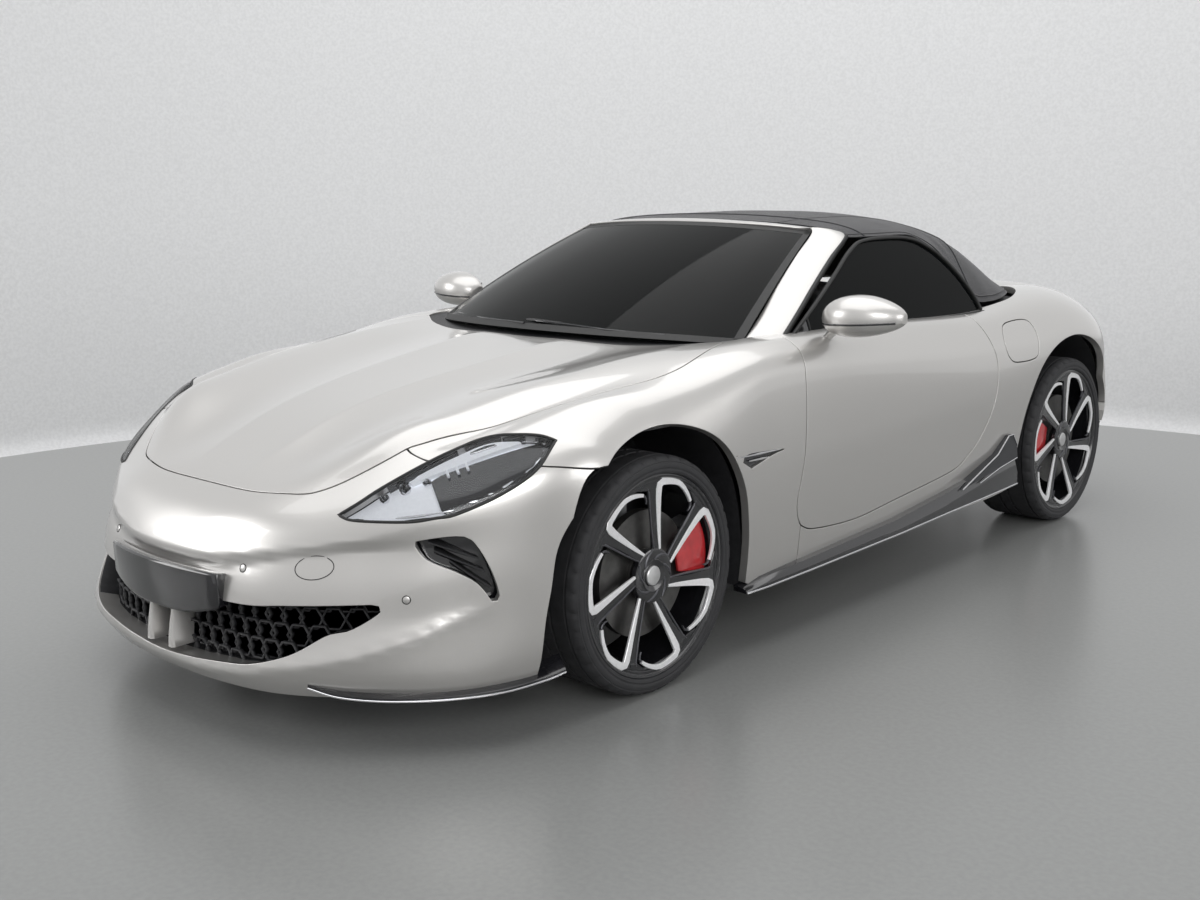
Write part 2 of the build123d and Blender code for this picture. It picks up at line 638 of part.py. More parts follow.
def add_flap_hinge(nodes):
    """A barrel on the flap between two ears on the wing, with a pin through the three."""
    x, y, z = at(*FLAP_HINGE)

    def upright(radius, low, high):
        return upright_rod(radius, x, y, z + low, z + high)

    web = real_block(x - FLAP_WEB_DEPTH, x - 2, y, y + FLAP_GAP, z - FLAP_BARREL_HALF,
                     z + FLAP_BARREL_HALF)
    barrel = upright(FLAP_BARREL_RADIUS, -FLAP_BARREL_HALF, FLAP_BARREL_HALF) + web
    bore = upright(FLAP_PIN_RADIUS + RUNNING_GAP, -FLAP_EAR_HALF, FLAP_EAR_HALF)
    nodes["charge_flap"] = nodes["charge_flap"] + barrel - bore
    pin = upright(FLAP_PIN_RADIUS, -FLAP_EAR_HALF, FLAP_EAR_HALF)
    for low, high in ((-FLAP_EAR_HALF, -FLAP_BARREL_HALF - 1), (FLAP_BARREL_HALF + 1, FLAP_EAR_HALF)):
        pin += upright(FLAP_BARREL_RADIUS, low, high)
        pin += real_block(x - FLAP_WEB_DEPTH, x - 1, y - FLAP_GAP, y + 1, z + low, z + high)
    nodes["rear_quarters"] = [piece - pin for piece in solids_of(nodes["rear_quarters"])]
    nodes["hinge_pins"] = nodes["hinge_pins"] + [pin]


# ---------------------------------------------------------------- structure
RAIL = (330, 420, 330, 430)
REAR_RAIL = (480, 560, 330, 430)
BEAM_TOP = 480
FRONT_TOWER_Z, REAR_TOWER_Z, TOWER_WALL = 738, 731, 14
BAY_COVER_Z, BAY_COVER_WALL = 778, 8
TUB_WALL = 8


def make_structure(nodes):
    inside = inside_body()
    floor = block(-720, 720, 530, 2262, FLOOR_Z, FLOOR_TOP)
    firewall = inside & block(-1000, 1000, 520, 520 + BULKHEAD_WALL, FLOOR_Z, 1000)
    rear_wall = inside & block(-1000, 1000, 2250, 2250 + BULKHEAD_WALL, FLOOR_Z, 905)
    for pocket in both(side_prism(FLAP_OUTLINE, 760, 1040, 2 * FLAP_GAP)):
        rear_wall = rear_wall - pocket
    shape = floor + firewall + rear_wall
    for side in (1, -1):
        shape += side_block(side, RAIL[0], RAIL[1], -760, 530, RAIL[2], RAIL[3])
        shape += side_block(side, REAR_RAIL[0], REAR_RAIL[1], 2262, 3200, REAR_RAIL[2],
                            REAR_RAIL[3])
        shape += side_block(side, 720, 800, 530, 2262, 222, FLOOR_TOP)
        shape += side_block(side, 400, 460, -80, 80, 380, FRONT_TOWER_Z + TOWER_WALL)
        shape += side_block(side, 400, 640, -50, 50, FRONT_TOWER_Z, FRONT_TOWER_Z + TOWER_WALL)
        shape += side_block(side, 540, 592, 2620, 2760, 380, REAR_TOWER_Z + TOWER_WALL)
        shape += side_block(side, 540, 720, 2645, 2735, REAR_TOWER_Z, REAR_TOWER_Z + TOWER_WALL)
    shape = shape - plan_prism(BONNET_OUTLINE, 880, 1100, 2 * LID_GAP)
    for pocket in both(hinge_pocket(BONNET_HINGE)):
        shape = shape - pocket
    shape += block(-500, 500, -790, -740, RAIL[2], BEAM_TOP)
    shape += block(-640, 640, 3180, 3230, REAR_RAIL[2], BEAM_TOP)
    nodes["underbody"] = shape
    nodes["battery_pack"] = block(-640, 640, 560, 2230, BATTERY_Z, FLOOR_Z)
    cover = inside & block(-1000, 1000, -420, 520, BAY_COVER_Z, BAY_COVER_Z + BAY_COVER_WALL)
    for well in both(front_well(LINER_WALL)):
        cover = cover - well
    nodes["front_bay_cover"] = cover
    liners = []
    for well in (front_well, rear_well):
        cup = (well(LINER_WALL) - well()) & inside
        liners += [cup - shape]
    gate = [block(380, 520, -170, 170, 100, 640), block(540, 640, 2520, 2860, 100, 640)]
    nodes["arch_liners"] = [piece for cup, cut in zip(liners, gate) for piece in both(cup - cut)]
    tub = block(-440, 440, 2920, 3330, BEAM_TOP, 905)
    tub -= block(-440 + TUB_WALL, 440 - TUB_WALL, 2920 + TUB_WALL, 3330 - TUB_WALL,
                 BEAM_TOP + TUB_WALL, 906)
    nodes["boot_tub"] = tub - plan_prism(BOOT_OUTLINE, 880, 1100, LID_GAP)
    nodes["drive_unit"] = block(-250, 250, 2520, 2880, 262, 560)


# ---------------------------------------------------------------- running gear
FRONT_DAMPER_X, REAR_DAMPER_X = 600.0, 628.0
REAR_ARM_BELOW, REAR_ARM_ABOVE = 110.0, 170.0
ARM_END = 20.0
DRIVE_SHAFT_RADIUS = 20.0


def make_suspension(nodes):
    y, radius = FRONT_AXLE_Y, FRONT_TYRE_RADIUS
    pin_x = FRONT_TRACK / 2 - KINGPIN_INSET
    low_z, high_z = radius - POST_BELOW - STEER_ARM_GAP, radius + POST_ABOVE + STEER_ARM_GAP
    shape = real_block(-440, 440, y - 70, y + 70, low_z - ARM_WALL, low_z + 30)
    shape += real_block(-440, 440, y + 60, y + 150, low_z + 10, low_z + 80)
    for side in (1, -1):
        shape += side_bar(side, 430, pin_x + ARM_END, y, ARM_HALF, low_z - ARM_WALL, low_z)
        shape += side_bar(side, 455, pin_x + ARM_END, y, ARM_HALF, high_z, high_z + ARM_WALL)
        shape += upright_rod(KINGPIN_RADIUS, side * pin_x, y, low_z - 1, low_z + PIN_DEPTH)
        shape += upright_rod(KINGPIN_RADIUS, side * pin_x, y, high_z - PIN_DEPTH, high_z + 1)
        shape += upright_rod(DAMPER_RADIUS, side * FRONT_DAMPER_X, y, low_z - 1,
                             above(FRONT_TOWER_Z))
    nodes["front_suspension"] = shape - nodes["underbody"]

    y, radius = REAR_AXLE_Y, REAR_TYRE_RADIUS
    post_x = REAR_TRACK / 2 - KINGPIN_INSET - POST_HALF_X
    low_z, high_z = radius - REAR_ARM_BELOW, radius + REAR_ARM_ABOVE
    shape = real_block(-600, 600, y - 60, y + 60, low_z - ARM_WALL, low_z)
    for side in (1, -1):
        shape += side_bar(side, 590, post_x, y, ARM_HALF, low_z - ARM_WALL, low_z)
        shape += side_bar(side, 592, post_x, y, ARM_HALF - 12, high_z, high_z + ARM_WALL)
        shape += upright_rod(DAMPER_RADIUS, side * REAR_DAMPER_X, y, low_z - 1,
                             above(REAR_TOWER_Z))
        low, high = sorted((side * 250, side * post_x))
        shape += across_rod(DRIVE_SHAFT_RADIUS, low, high, y, radius)
    nodes["rear_suspension"] = shape - nodes["underbody"] - nodes["drive_unit"]
    for end in ("front", "rear"):
        arms = nodes[f"{end}_suspension"]
        nodes["arch_liners"] = [liner - arms for liner in nodes["arch_liners"]]
        nodes["undertray"] = nodes["undertray"] - arms


def make_wheels(nodes):
    uprights = []
    for name, side, y, centre, radius, width in wheel_places():
        pieces = {"tyre": tyre(y, centre, radius, width),
                  "rim": rim(y, centre, radius, width),
                  "brake_disc": brake_disc(y, centre, radius, width)}
        for kind, piece in pieces.items():
            nodes[f"{kind}_{name}"] = piece if side > 0 else mirrored(piece)
        steered = name.startswith("front")
        turn = CALIPER_TURN_FRONT if steered else CALIPER_TURN_REAR
        piece = knuckle(y, centre, radius, width, turn, steered)
        piece = piece if side > 0 else mirrored(piece)
        if steered:
            nodes[f"knuckle_{name}"] = piece
        else:
            uprights.append(piece)
    nodes["rear_uprights"] = uprights


# ---------------------------------------------------------------- roof and glass
REAR_WINDOW = half_and_half([(0, 2290), (370, 2290), (330, 2610), (0, 2610)])


def make_roof(nodes, skin):
    glass = screen_slab(SCREEN_FOOT, SCREEN_HEAD, SCREEN_RUN)
    hole = screen_slab(SCREEN_FOOT, SCREEN_HEAD, 2 * FRAME_RUN)
    frame = screen_slab(FRAME_FOOT, FRAME_HEAD, FRAME_RUN)
    nodes["windscreen"] = glass - skin
    nodes["windscreen_frame"] = frame - hole - skin
    roof = roof_loft(0) - roof_loft(ROOF_WALL) - frame - skin
    for side_window in both(side_prism(SIDE_GLASS, 450, 1000, -WINDOW_LAP)):
        roof = roof - side_window
    window = plan_prism(REAR_WINDOW, 1000, 1400)
    nodes["rear_window"] = roof & window
    nodes["soft_top"] = roof - window
    nodes["door_glass_left"], nodes["door_glass_right"] = both(side_pane() - skin)


# ---------------------------------------------------------------- cabin
SEAT_PROFILE = [(1330, 338), (1330, 490), (1390, 515), (1800, 470), (1935, 900), (1985, 1090),
                (2060, 1100), (2075, 1060), (2020, 760), (1960, 338)]
DASH_PROFILE = [(544, 700), (544, 880), (640, 900), (800, 905), (900, 875), (930, 800), (880, 710)]
CONSOLE_PROFILE = [(544, FLOOR_TOP), (544, 700), (880, 700), (1000, 620), (1500, 560),
                   (2100, 560), (2100, FLOOR_TOP)]
WHEEL_CENTRE = (375, 1180, 800)
WHEEL_TILT = 24.0
STEERING_RADIUS, STEERING_GRIP = 175.0, 15.0
WHEEL_HUB_RADIUS, WHEEL_HUB_DEPTH = 48.0, 34.0
COLUMN_RADIUS, COLUMN_LENGTH = 24.0, 720.0


def make_cabin(nodes):
    nodes["seats"] = both(side_prism(SEAT_PROFILE, 120, 640))
    nodes["dashboard"] = side_prism(DASH_PROFILE, -690, 690)
    nodes["centre_console"] = side_prism(CONSOLE_PROFILE, -105, 105)
    x, y, z = at(*WHEEL_CENTRE)
    place = Pos(x, y, z) * Rot(-(90 - WHEEL_TILT), 0, 0)
    column_top = -WHEEL_HUB_DEPTH / 2 - RUNNING_GAP
    column = place * upright_rod(COLUMN_RADIUS, 0, 0, -COLUMN_LENGTH, column_top)
    wheel = Cylinder(WHEEL_HUB_RADIUS, WHEEL_HUB_DEPTH) + Torus(STEERING_RADIUS, STEERING_GRIP)
    spoke = real_block(WHEEL_HUB_RADIUS - 8, STEERING_RADIUS, -15, 15, -8, 8)
    for angle in (0, 180, 270):
        wheel += Rot(0, 0, angle) * spoke
    nodes["steering_wheel"] = place * wheel
    behind_firewall = block(-1000, 1000, 520 + BULKHEAD_WALL, 1300, FLOOR_TOP, 900)
    nodes["steering_column"] = column & behind_firewall


# ---------------------------------------------------------------- trim
# x, s and z from low to high; the rear carrier's s is where its back sits in the recess
FRONT_PLATE = (-270, 270, -1032, -960, 330, 470)
REAR_PLATE = (-270, 270, 3470, 3495, 500, 630)


def plate_recess():
    """The flat-floored pocket that the rear plate carrier sits in."""
    x0, x1, s0, s1, z0, z1 = REAR_PLATE
    return block(x0 - PLATE_GAP, x1 + PLATE_GAP, s0, s1 + PLATE_GAP, z0 - PLATE_GAP,
                 z1 + PLATE_GAP)


def make_trim(nodes, skin):
    mirror_shell = block(905, 1085, 900, 1040, 992, 1098)
    arm = block(862, 960, 930, 990, 900, 1000)
    nodes["mirror_left"], nodes["mirror_right"] = both(mirror_shell + arm - skin)
    x0, x1, s0, s1, z0, z1 = REAR_PLATE
    back = along(s0)
    rear_carrier = real_block(across(x0), across(x1), back, back + PLATE_WALL, above(z0),
                              above(z1))
    nodes["plate_carriers"] = [block(*FRONT_PLATE) - skin, rear_carrier]


SPLITTER_OUTER = [(0, -1040), (230, -1036), (440, -985), (575, -890), (700, -775), (865, -590),
                  (930, -420), (930, -370)]
SPLITTER_INNER = [(800, -370), (800, -560), (640, -740), (400, -890), (0, -960)]
SKIRT_OUTLINE = [(415, 196), (430, 230), (1760, 250), (2120, 330), (2235, 345), (2262, 215),
                 (2200, 200)]


def make_aero(nodes, skin):
    """The blades under the nose and along the sills."""
    ring = half_and_half(SPLITTER_OUTER)
    rim_points = half_and_half(list(reversed(SPLITTER_INNER)))
    blade = plan_prism(ring, 126, 152) - plan_prism(rim_points, 100, 180)
    nodes["front_splitter"] = blade - skin
    nodes["side_skirts"] = both(side_prism(SKIRT_OUTLINE, 860, SKIRT_OUTER_X) - skin)


JACK_PAD_X = (722, 777)
JACK_PADS = [(620, 690), (2110, 2180)]


def jack_pads():
    """Flat feet under the sills, where a jack or a stand takes the car's weight."""
    x0, x1 = JACK_PAD_X
    pads = [side_block(side, x0, x1, s0, s1, 160, 224) for s0, s1 in JACK_PADS
            for side in (1, -1)]
    return pads[0] + pads[1:]


def main():
    nodes = {}
    skin = make_panels(nodes)
    add_lid_hinges(nodes, skin)
    make_grilles(nodes)
    make_structure(nodes)
    make_suspension(nodes)
    make_wheels(nodes)
    make_roof(nodes, skin)
    add_door_hinges(nodes)
    add_flap_hinge(nodes)
    make_cabin(nodes)
    make_trim(nodes, skin)
    make_aero(nodes, skin)
    pads = jack_pads()
    nodes["undertray"] = nodes["undertray"] - pads
    nodes["underbody"] = nodes["underbody"] + pads
    return nodes


def solids_of(shape):
    pieces = shape if isinstance(shape, list) else [shape]
    return [solid for piece in pieces for solid in piece.solids()]


if __name__ == "__main__":
    os.makedirs("parts", exist_ok=True)
    for name, shape in main().items():
        solids = solids_of(shape)
        export_step(solids[0] if len(solids) == 1 else Compound(children=solids),
                    f"parts/{name}.step")
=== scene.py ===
import math

import bmesh
import bpy
import numpy as np
from mathutils import Matrix, Vector


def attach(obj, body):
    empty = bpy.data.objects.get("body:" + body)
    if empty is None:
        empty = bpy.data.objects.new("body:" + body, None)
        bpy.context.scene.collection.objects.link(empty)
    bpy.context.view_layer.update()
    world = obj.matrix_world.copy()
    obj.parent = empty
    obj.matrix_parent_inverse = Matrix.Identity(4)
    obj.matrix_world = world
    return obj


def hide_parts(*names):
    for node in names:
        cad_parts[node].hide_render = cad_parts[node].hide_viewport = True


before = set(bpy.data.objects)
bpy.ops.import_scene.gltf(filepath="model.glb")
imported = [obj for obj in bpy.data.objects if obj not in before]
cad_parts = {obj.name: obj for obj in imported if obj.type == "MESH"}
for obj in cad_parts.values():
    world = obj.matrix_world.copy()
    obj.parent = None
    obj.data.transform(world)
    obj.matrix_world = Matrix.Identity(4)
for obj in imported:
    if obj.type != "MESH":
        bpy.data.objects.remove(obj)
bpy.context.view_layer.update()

FRONT_AXLE = -1.2275    # metres along the frame; drawn places are millimetres behind it
WHEELBASE = 2690
SHELL = "body_shell"
SIDES = (("left", 1), ("right", -1))


# ---------------------------------------------------------------- finishes
def node(tree, kind, feeds=None, **sockets):
    """A shader node with its constants set and its inputs fed."""
    made = tree.nodes.new("ShaderNode" + kind)
    for name, value in sockets.items():
        made.inputs[name.replace("_", " ")].default_value = value
    for name, output in (feeds or {}).items():
        tree.links.new(output, made.inputs[name])
    return made


def reckon(tree, operation, a, b):
    """One step of sums on values; a or b may be a plain number."""
    made = tree.nodes.new("ShaderNodeMath")
    made.operation = operation
    for socket, value in zip(made.inputs, (a, b)):
        if isinstance(value, (int, float)):
            socket.default_value = value
        else:
            tree.links.new(value, socket)
    return made.outputs[0]


def begin(name):
    """A new material, its tree, its surface shader and the place on the object."""
    material = bpy.data.materials.new(name)
    material.use_nodes = True
    tree = material.node_tree
    return material, tree, tree.nodes["Principled BSDF"], node(tree, "TexCoord").outputs["Object"]


def two_tone(tree, skin, share, low, high, at=(0.3, 0.7)):
    ramp = node(tree, "ValToRGB", {"Fac": share})
    for element, colour, place in zip(ramp.color_ramp.elements, (low, high), at):
        element.position = place
        element.color = (*[min(1.0, max(0.0, c)) for c in colour], 1)
    tree.links.new(ramp.outputs["Color"], skin.inputs["Base Color"])


def relief(tree, skin, height, strength, distance):
    made = node(tree, "Bump", {"Height": height}, Strength=strength, Distance=distance)
    tree.links.new(made.outputs[0], skin.inputs["Normal"])


def finish(name, colour, rough, metal=0.0, scale=40.0, vary=0.0, bump=0.0, bump_scale=300.0, rough_vary=0.0,
           **shader):
    """A painted, moulded or cast surface: noise moves its colour, its gloss and its grain."""
    material, tree, skin, place = begin(name)
    skin.inputs["Metallic"].default_value = metal
    skin.inputs["Roughness"].default_value = rough
    for socket, value in shader.items():
        skin.inputs[socket.replace("_", " ")].default_value = value
    cloud = node(tree, "TexNoise", {"Vector": place}, Scale=scale, Detail=3.0).outputs["Fac"]
    two_tone(tree, skin, cloud, [c * (1 - vary) for c in colour], [c * (1 + vary) for c in colour])
    if rough_vary:
        spread = node(tree, "MapRange", {"Value": cloud}, To_Min=max(0.02, rough - rough_vary),
                      To_Max=min(1.0, rough + rough_vary))
        tree.links.new(spread.outputs[0], skin.inputs["Roughness"])
    if bump:
        grain = node(tree, "TexNoise", {"Vector": place}, Scale=bump_scale, Detail=4.0)
        relief(tree, skin, grain.outputs["Fac"], bump, 0.001)
    return material


def hide_finish(name, colour, rough, cell, strength):
    """Leather: rounded pebbles between fine folds."""
    material = finish(name, colour, rough, vary=0.25, scale=60)
    tree = material.node_tree
    place = node(tree, "TexCoord").outputs["Object"]
    pebble = node(tree, "TexVoronoi", {"Vector": place}, Scale=cell)
    relief(tree, tree.nodes["Principled BSDF"], pebble.outputs["Distance"], strength, 0.0006)
    return material


def weave_finish(name, dark, light, threads, strength):
    """Woven cloth: two sets of threads across each other."""
    material, tree, skin, place = begin(name)
    for socket, value in (("Roughness", 0.9), ("Sheen Weight", 0.25), ("Sheen Roughness", 0.5)):
        skin.inputs[socket].default_value = value
    heights = []
    for axis in "XY":
        wave = node(tree, "TexWave", {"Vector": place}, Scale=threads, Distortion=0.4, Detail=1.0)
        wave.bands_direction = axis
        heights.append(wave.outputs["Fac"])
    cross = reckon(tree, "MULTIPLY", *heights)
    cloud = node(tree, "TexNoise", {"Vector": place}, Scale=9.0, Detail=5.0).outputs["Fac"]
    mixed = reckon(tree, "ADD", reckon(tree, "MULTIPLY", cross, 0.5), cloud)
    two_tone(tree, skin, mixed, dark, light, (0.25, 1.0))
    relief(tree, skin, cross, strength, 0.0008)
    return material


def glass_finish(name, tint, gloss=0.02):
    """Window glass: what lies behind shows through the tint, and the gloss grows at a slant."""
    material, tree, skin, place = begin(name)
    skin.inputs["Base Color"].default_value = (*[c * 0.1 for c in tint], 1)
    skin.inputs["Specular IOR Level"].default_value = 0.8
    dust = node(tree, "TexNoise", {"Vector": place}, Scale=14.0, Detail=4.0).outputs["Fac"]
    film = node(tree, "MapRange", {"Value": dust}, To_Min=gloss, To_Max=gloss + 0.03)
    tree.links.new(film.outputs[0], skin.inputs["Roughness"])
    clear = node(tree, "BsdfTransparent", Color=(*tint, 1))
    slant = node(tree, "LayerWeight", Blend=0.35).outputs["Fresnel"]
    share = node(tree, "MapRange", {"Value": slant}, To_Min=0.08, To_Max=1.0).outputs[0]
    mix_into(tree, share, clear, skin, tree.nodes["Material Output"])
    return material


def mix_into(tree, share, first, second, output):
    """Sends a blend of two shaders to the output: the second where the share is 1."""
    blend = node(tree, "MixShader", {"Fac": share})
    tree.links.new(first.outputs[0], blend.inputs[1])
    tree.links.new(second.outputs[0], blend.inputs[2])
    tree.links.new(blend.outputs[0], output.inputs["Surface"])


def coat(weight, rough):
    return {"Coat_Weight": weight, "Coat_Roughness": rough}


PAINT = finish("silver_paint", (0.55, 0.537, 0.52), 0.33, 0.68, 900, 0.035, 0.02, 2500, 0.03, Coat_IOR=1.5,
               **coat(1.0, 0.03))
GLOSS_BLACK = finish("gloss_black", (0.010, 0.010, 0.012), 0.10, 0, 30, 0.2, 0.01, 90, 0.03,
                     **coat(0.6, 0.04))
BLACK = finish("grained_black", (0.020, 0.020, 0.022), 0.55, 0, 60, 0.25, 0.35, 1400, 0.08)
DARK_METAL = finish("coated_steel", (0.045, 0.046, 0.05), 0.5, 0.3, 30, 0.2, 0.2, 400, 0.1)
CAST = finish("cast_aluminium", (0.42, 0.43, 0.44), 0.45, 0.9, 50, 0.12, 0.4, 700, 0.1)
RUBBER = finish("tyre_rubber", (0.022, 0.022, 0.024), 0.72, 0, 25, 0.25, 0.3, 900, 0.1)
SEAL = finish("seal_rubber", (0.012, 0.012, 0.012), 0.6, 0, 60, 0.2, 0.1, 700)
RIM_BLACK = finish("rim_black", (0.012, 0.012, 0.014), 0.18, 0, 50, 0.2, 0.02, 500, 0.04, **coat(0.5, 0.05))
RIM_GREY = finish("rim_grey", (0.10, 0.10, 0.11), 0.32, 0.6, 70, 0.15, 0.05, 900, 0.05)
RIM_SILVER = finish("rim_machined", (0.88, 0.88, 0.89), 0.30, 0.35, 120, 0.05, 0.06, 1500, 0.05,
                    **coat(0.4, 0.05))
IRON = finish("disc_iron", (0.11, 0.108, 0.105), 0.42, 0.85, 25, 0.25, 0.25, 500, 0.12)
CALIPER_RED = finish("caliper_red", (0.50, 0.025, 0.03), 0.3, 0, 40, 0.12, 0.15, 500, **coat(0.6, 0.08))
CHROME = finish("bright_trim", (0.78, 0.78, 0.80), 0.12, 1.0, 80, 0.03, 0.01, 300, 0.03)
SATIN = finish("satin_silver", (0.62, 0.62, 0.62), 0.3, 0.8, 80, 0.05, 0.03, 700, 0.05)
LAMP_WHITE = finish("lamp_white", (0.88, 0.89, 0.91), 0.25, 0, 90, 0.04, 0.04, 600, 0.05,
                    Emission_Color=(0.9, 0.93, 1.0, 1), Emission_Strength=0.35)
LAMP_RED = finish("tail_lamp_red", (0.32, 0.008, 0.012), 0.12, 0, 300, 0.2, 0.1, 300, **coat(1.0, 0.03))
HIDE = hide_finish("dark_leather", (0.045, 0.040, 0.040), 0.55, 420, 0.35)
STITCH = finish("stitch_thread", (0.35, 0.34, 0.33), 0.8, 0, 800, 0.15, 0.4, 3000)
CLOTH = weave_finish("roof_cloth", (0.014, 0.014, 0.016), (0.048, 0.048, 0.053), 900, 0.5)
LINING = weave_finish("headlining", (0.03, 0.03, 0.032), (0.06, 0.06, 0.062), 1200, 0.3)
CARPET = finish("carpet", (0.02, 0.02, 0.021), 0.95, 0, 700, 0.4, 0.9, 1500)
GLASS = glass_finish("tinted_glass", (0.20, 0.23, 0.23))
REAR_GLASS = glass_finish("dark_glass", (0.06, 0.07, 0.07))
LENS = glass_finish("lamp_lens", (0.93, 0.94, 0.95), gloss=0.01)


# ---------------------------------------------------------------- making pieces
def to_frame(points):
    """Drawn millimetres (x, s behind the front axle, z) to metres in the frame."""
    return np.asarray(points, float) * 0.001 + [0, FRONT_AXLE, 0]


def mesh_of(name, points, faces, materials, numbers=None):
    mesh = bpy.data.meshes.new(name)
    mesh.from_pydata([tuple(p) for p in points], [], faces)
    for material in materials:
        mesh.materials.append(material)
    if numbers:
        mesh.polygons.foreach_set("material_index", numbers)
    return mesh


def object_of(name, mesh):
    made = bpy.data.objects.new(name, mesh)
    bpy.context.scene.collection.objects.link(made)
    return made


def shade(mesh, crisp):
    mesh.shade_smooth()
    mesh.set_sharp_from_angle(angle=math.radians(crisp))


def settle(made, name, crisp=38.0):
    """Applies the modifiers, so that the piece is one plain mesh."""
    bpy.context.view_layer.update()
    graph = bpy.context.evaluated_depsgraph_get()
    mesh = bpy.data.meshes.new_from_object(made.evaluated_get(graph))
    bpy.data.objects.remove(made)
    mesh.name = name
    if crisp:
        shade(mesh, crisp)
    return object_of(name, mesh)


def fit_out(made, body, slot, *replaced):
    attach(made, body)
    if replaced:
        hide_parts(*replaced)
    return made


def solid(name, parts, materials, crisp=38.0, bevel=0.0, smooth=0, merge=True):
    """One object from several (points, faces, material number) parts drawn in millimetres."""
    points, faces, numbers = [], [], []
    for part_points, part_faces, number in parts:
        first = len(points)
        points += [tuple(p) for p in part_points]
        faces += [tuple(first + i for i in face) for face in part_faces]
        numbers += [number] * len(part_faces)
    mesh = mesh_of(name, to_frame(points), faces, materials, numbers)
    work = bmesh.new()
    work.from_mesh(mesh)
    if merge:
        bmesh.ops.remove_doubles(work, verts=work.verts, dist=0.00002)
    bmesh.ops.recalc_face_normals(work, faces=work.faces)
    work.to_mesh(mesh)
    work.free()
    made = object_of(name, mesh)
    if bevel:
        edge = made.modifiers.new("edge", "BEVEL")
        edge.width = bevel / 1000
        edge.segments = 2
        edge.limit_method = "ANGLE"
        edge.angle_limit = math.radians(35)
        edge.use_clamp_overlap = True
    if smooth:
        round_off = made.modifiers.new("round", "SUBSURF")
        round_off.levels = round_off.render_levels = smooth
    return settle(made, name, crisp)


def piece(name, parts, materials, body, slot, *replaced, **how):
    return fit_out(solid(name, parts, materials, **how), body, slot, *replaced)


def pair(name, parts, materials, body, slot, *replaced, **how):
    """The same parts on the left and, mirrored, on the right; {} in a name is the side."""
    for side, sign in SIDES:
        placed = parts if sign > 0 else [other_side(part) for part in parts]
        piece(name.format(side), placed, materials, body.format(side), slot,
              *[r.format(side) for r in replaced], **how)


def loft(rings, caps=True, number=0, around=False):
    """Skins a row of rings that have the same number of points; around joins the last to the first."""
    count, total = len(rings[0]), len(rings)
    points = [p for ring in rings for p in ring]
    faces = []
    for i in range(total if around else total - 1):
        a, b = i * count, (i + 1) % total * count
        for j in range(count):
            k = (j + 1) % count
            faces.append((a + j, a + k, b + k, b + j))
    if caps and not around:
        faces.append(tuple(range(count))[::-1])
        faces.append(tuple((total - 1) * count + j for j in range(count)))
    return points, faces, number


def turned(profile, centre=(0, 0, 0), axis=(1, 0, 0), steps=96, number=0):
    """A closed profile of (radius, distance along the axis), turned round the axis."""
    axis = Vector(axis).normalized()
    side = axis.orthogonal().normalized()
    up = axis.cross(side)
    centre = Vector(centre)
    rings = []
    for k in range(steps):
        angle = 2 * math.pi * k / steps
        out = side * math.cos(angle) + up * math.sin(angle)
        rings.append([tuple(centre + out * r + axis * a) for r, a in profile])
    return loft(rings, number=number, around=True)


def smooth_line(points, steps=8, closed=False):
    """A curve through points. A point that is given twice is a corner."""
    points = [np.asarray(p, float) for p in points]
    runs = [[points[0]]]
    for p in points[1:]:
        if np.allclose(p, runs[-1][-1]):
            runs.append([p])
        else:
            runs[-1].append(p)
    loop = closed and len(runs) == 1
    if closed and (loop or not np.allclose(runs[-1][-1], points[0])):
        runs[-1].append(points[0])
    if closed and len(runs[-1]) == 1:
        runs.pop()
    out = []
    for run in runs:
        for i in range(len(run) - 1):
            b, c = run[i], run[i + 1]
            a = run[i - 1] if i > 0 else (run[-2] if loop else 2 * b - c)
            d = run[i + 2] if i + 2 < len(run) else (run[1] if loop else 2 * c - b)
            for k in range(steps):
                t = k / steps
                out.append(0.5 * (2 * b + (c - a) * t + (2 * a - 5 * b + 4 * c - d) * t * t
                                  + (3 * b - a - 3 * c + d) * t ** 3))
    if not closed:
        out.append(runs[-1][-1])
    return np.array(out)


def swept(path, section, up=(0, 0, 1), closed=False, scales=None, number=0):
    """A section of (across, up) points carried along a path."""
    path = [Vector(p) for p in path]
    up, total = Vector(up), len(path)
    rings = []
    for i, here in enumerate(path):
        ahead = path[(i + 1) % total] if closed or i + 1 < total else here
        behind = path[i - 1] if closed or i > 0 else here
        along_path = (ahead - behind).normalized()
        across = along_path.cross(up).normalized()
        rise = across.cross(along_path)
        size = scales[i] if scales is not None else 1.0
        rings.append([tuple(here + across * a * size + rise * b * size) for a, b in section])
    return loft(rings, number=number, around=closed)


def round_section(width, count=10, flat=1.0):
    return [(width * math.cos(2 * math.pi * k / count), width * flat * math.sin(2 * math.pi * k / count))
            for k in range(count)]


def box_section(width, height, e=1.0):
    """A rectangle whose corners are cut back by e."""
    w, h = width / 2, height / 2
    return [(-w, -h + e), (-w, h - e), (-w + e, h), (w - e, h), (w, h - e), (w, -h + e), (w - e, -h),
            (-w + e, -h)]


def other_side(part):
    points, faces, number = part
    return [(-p[0], p[1], p[2]) for p in points], [tuple(reversed(f)) for f in faces], number


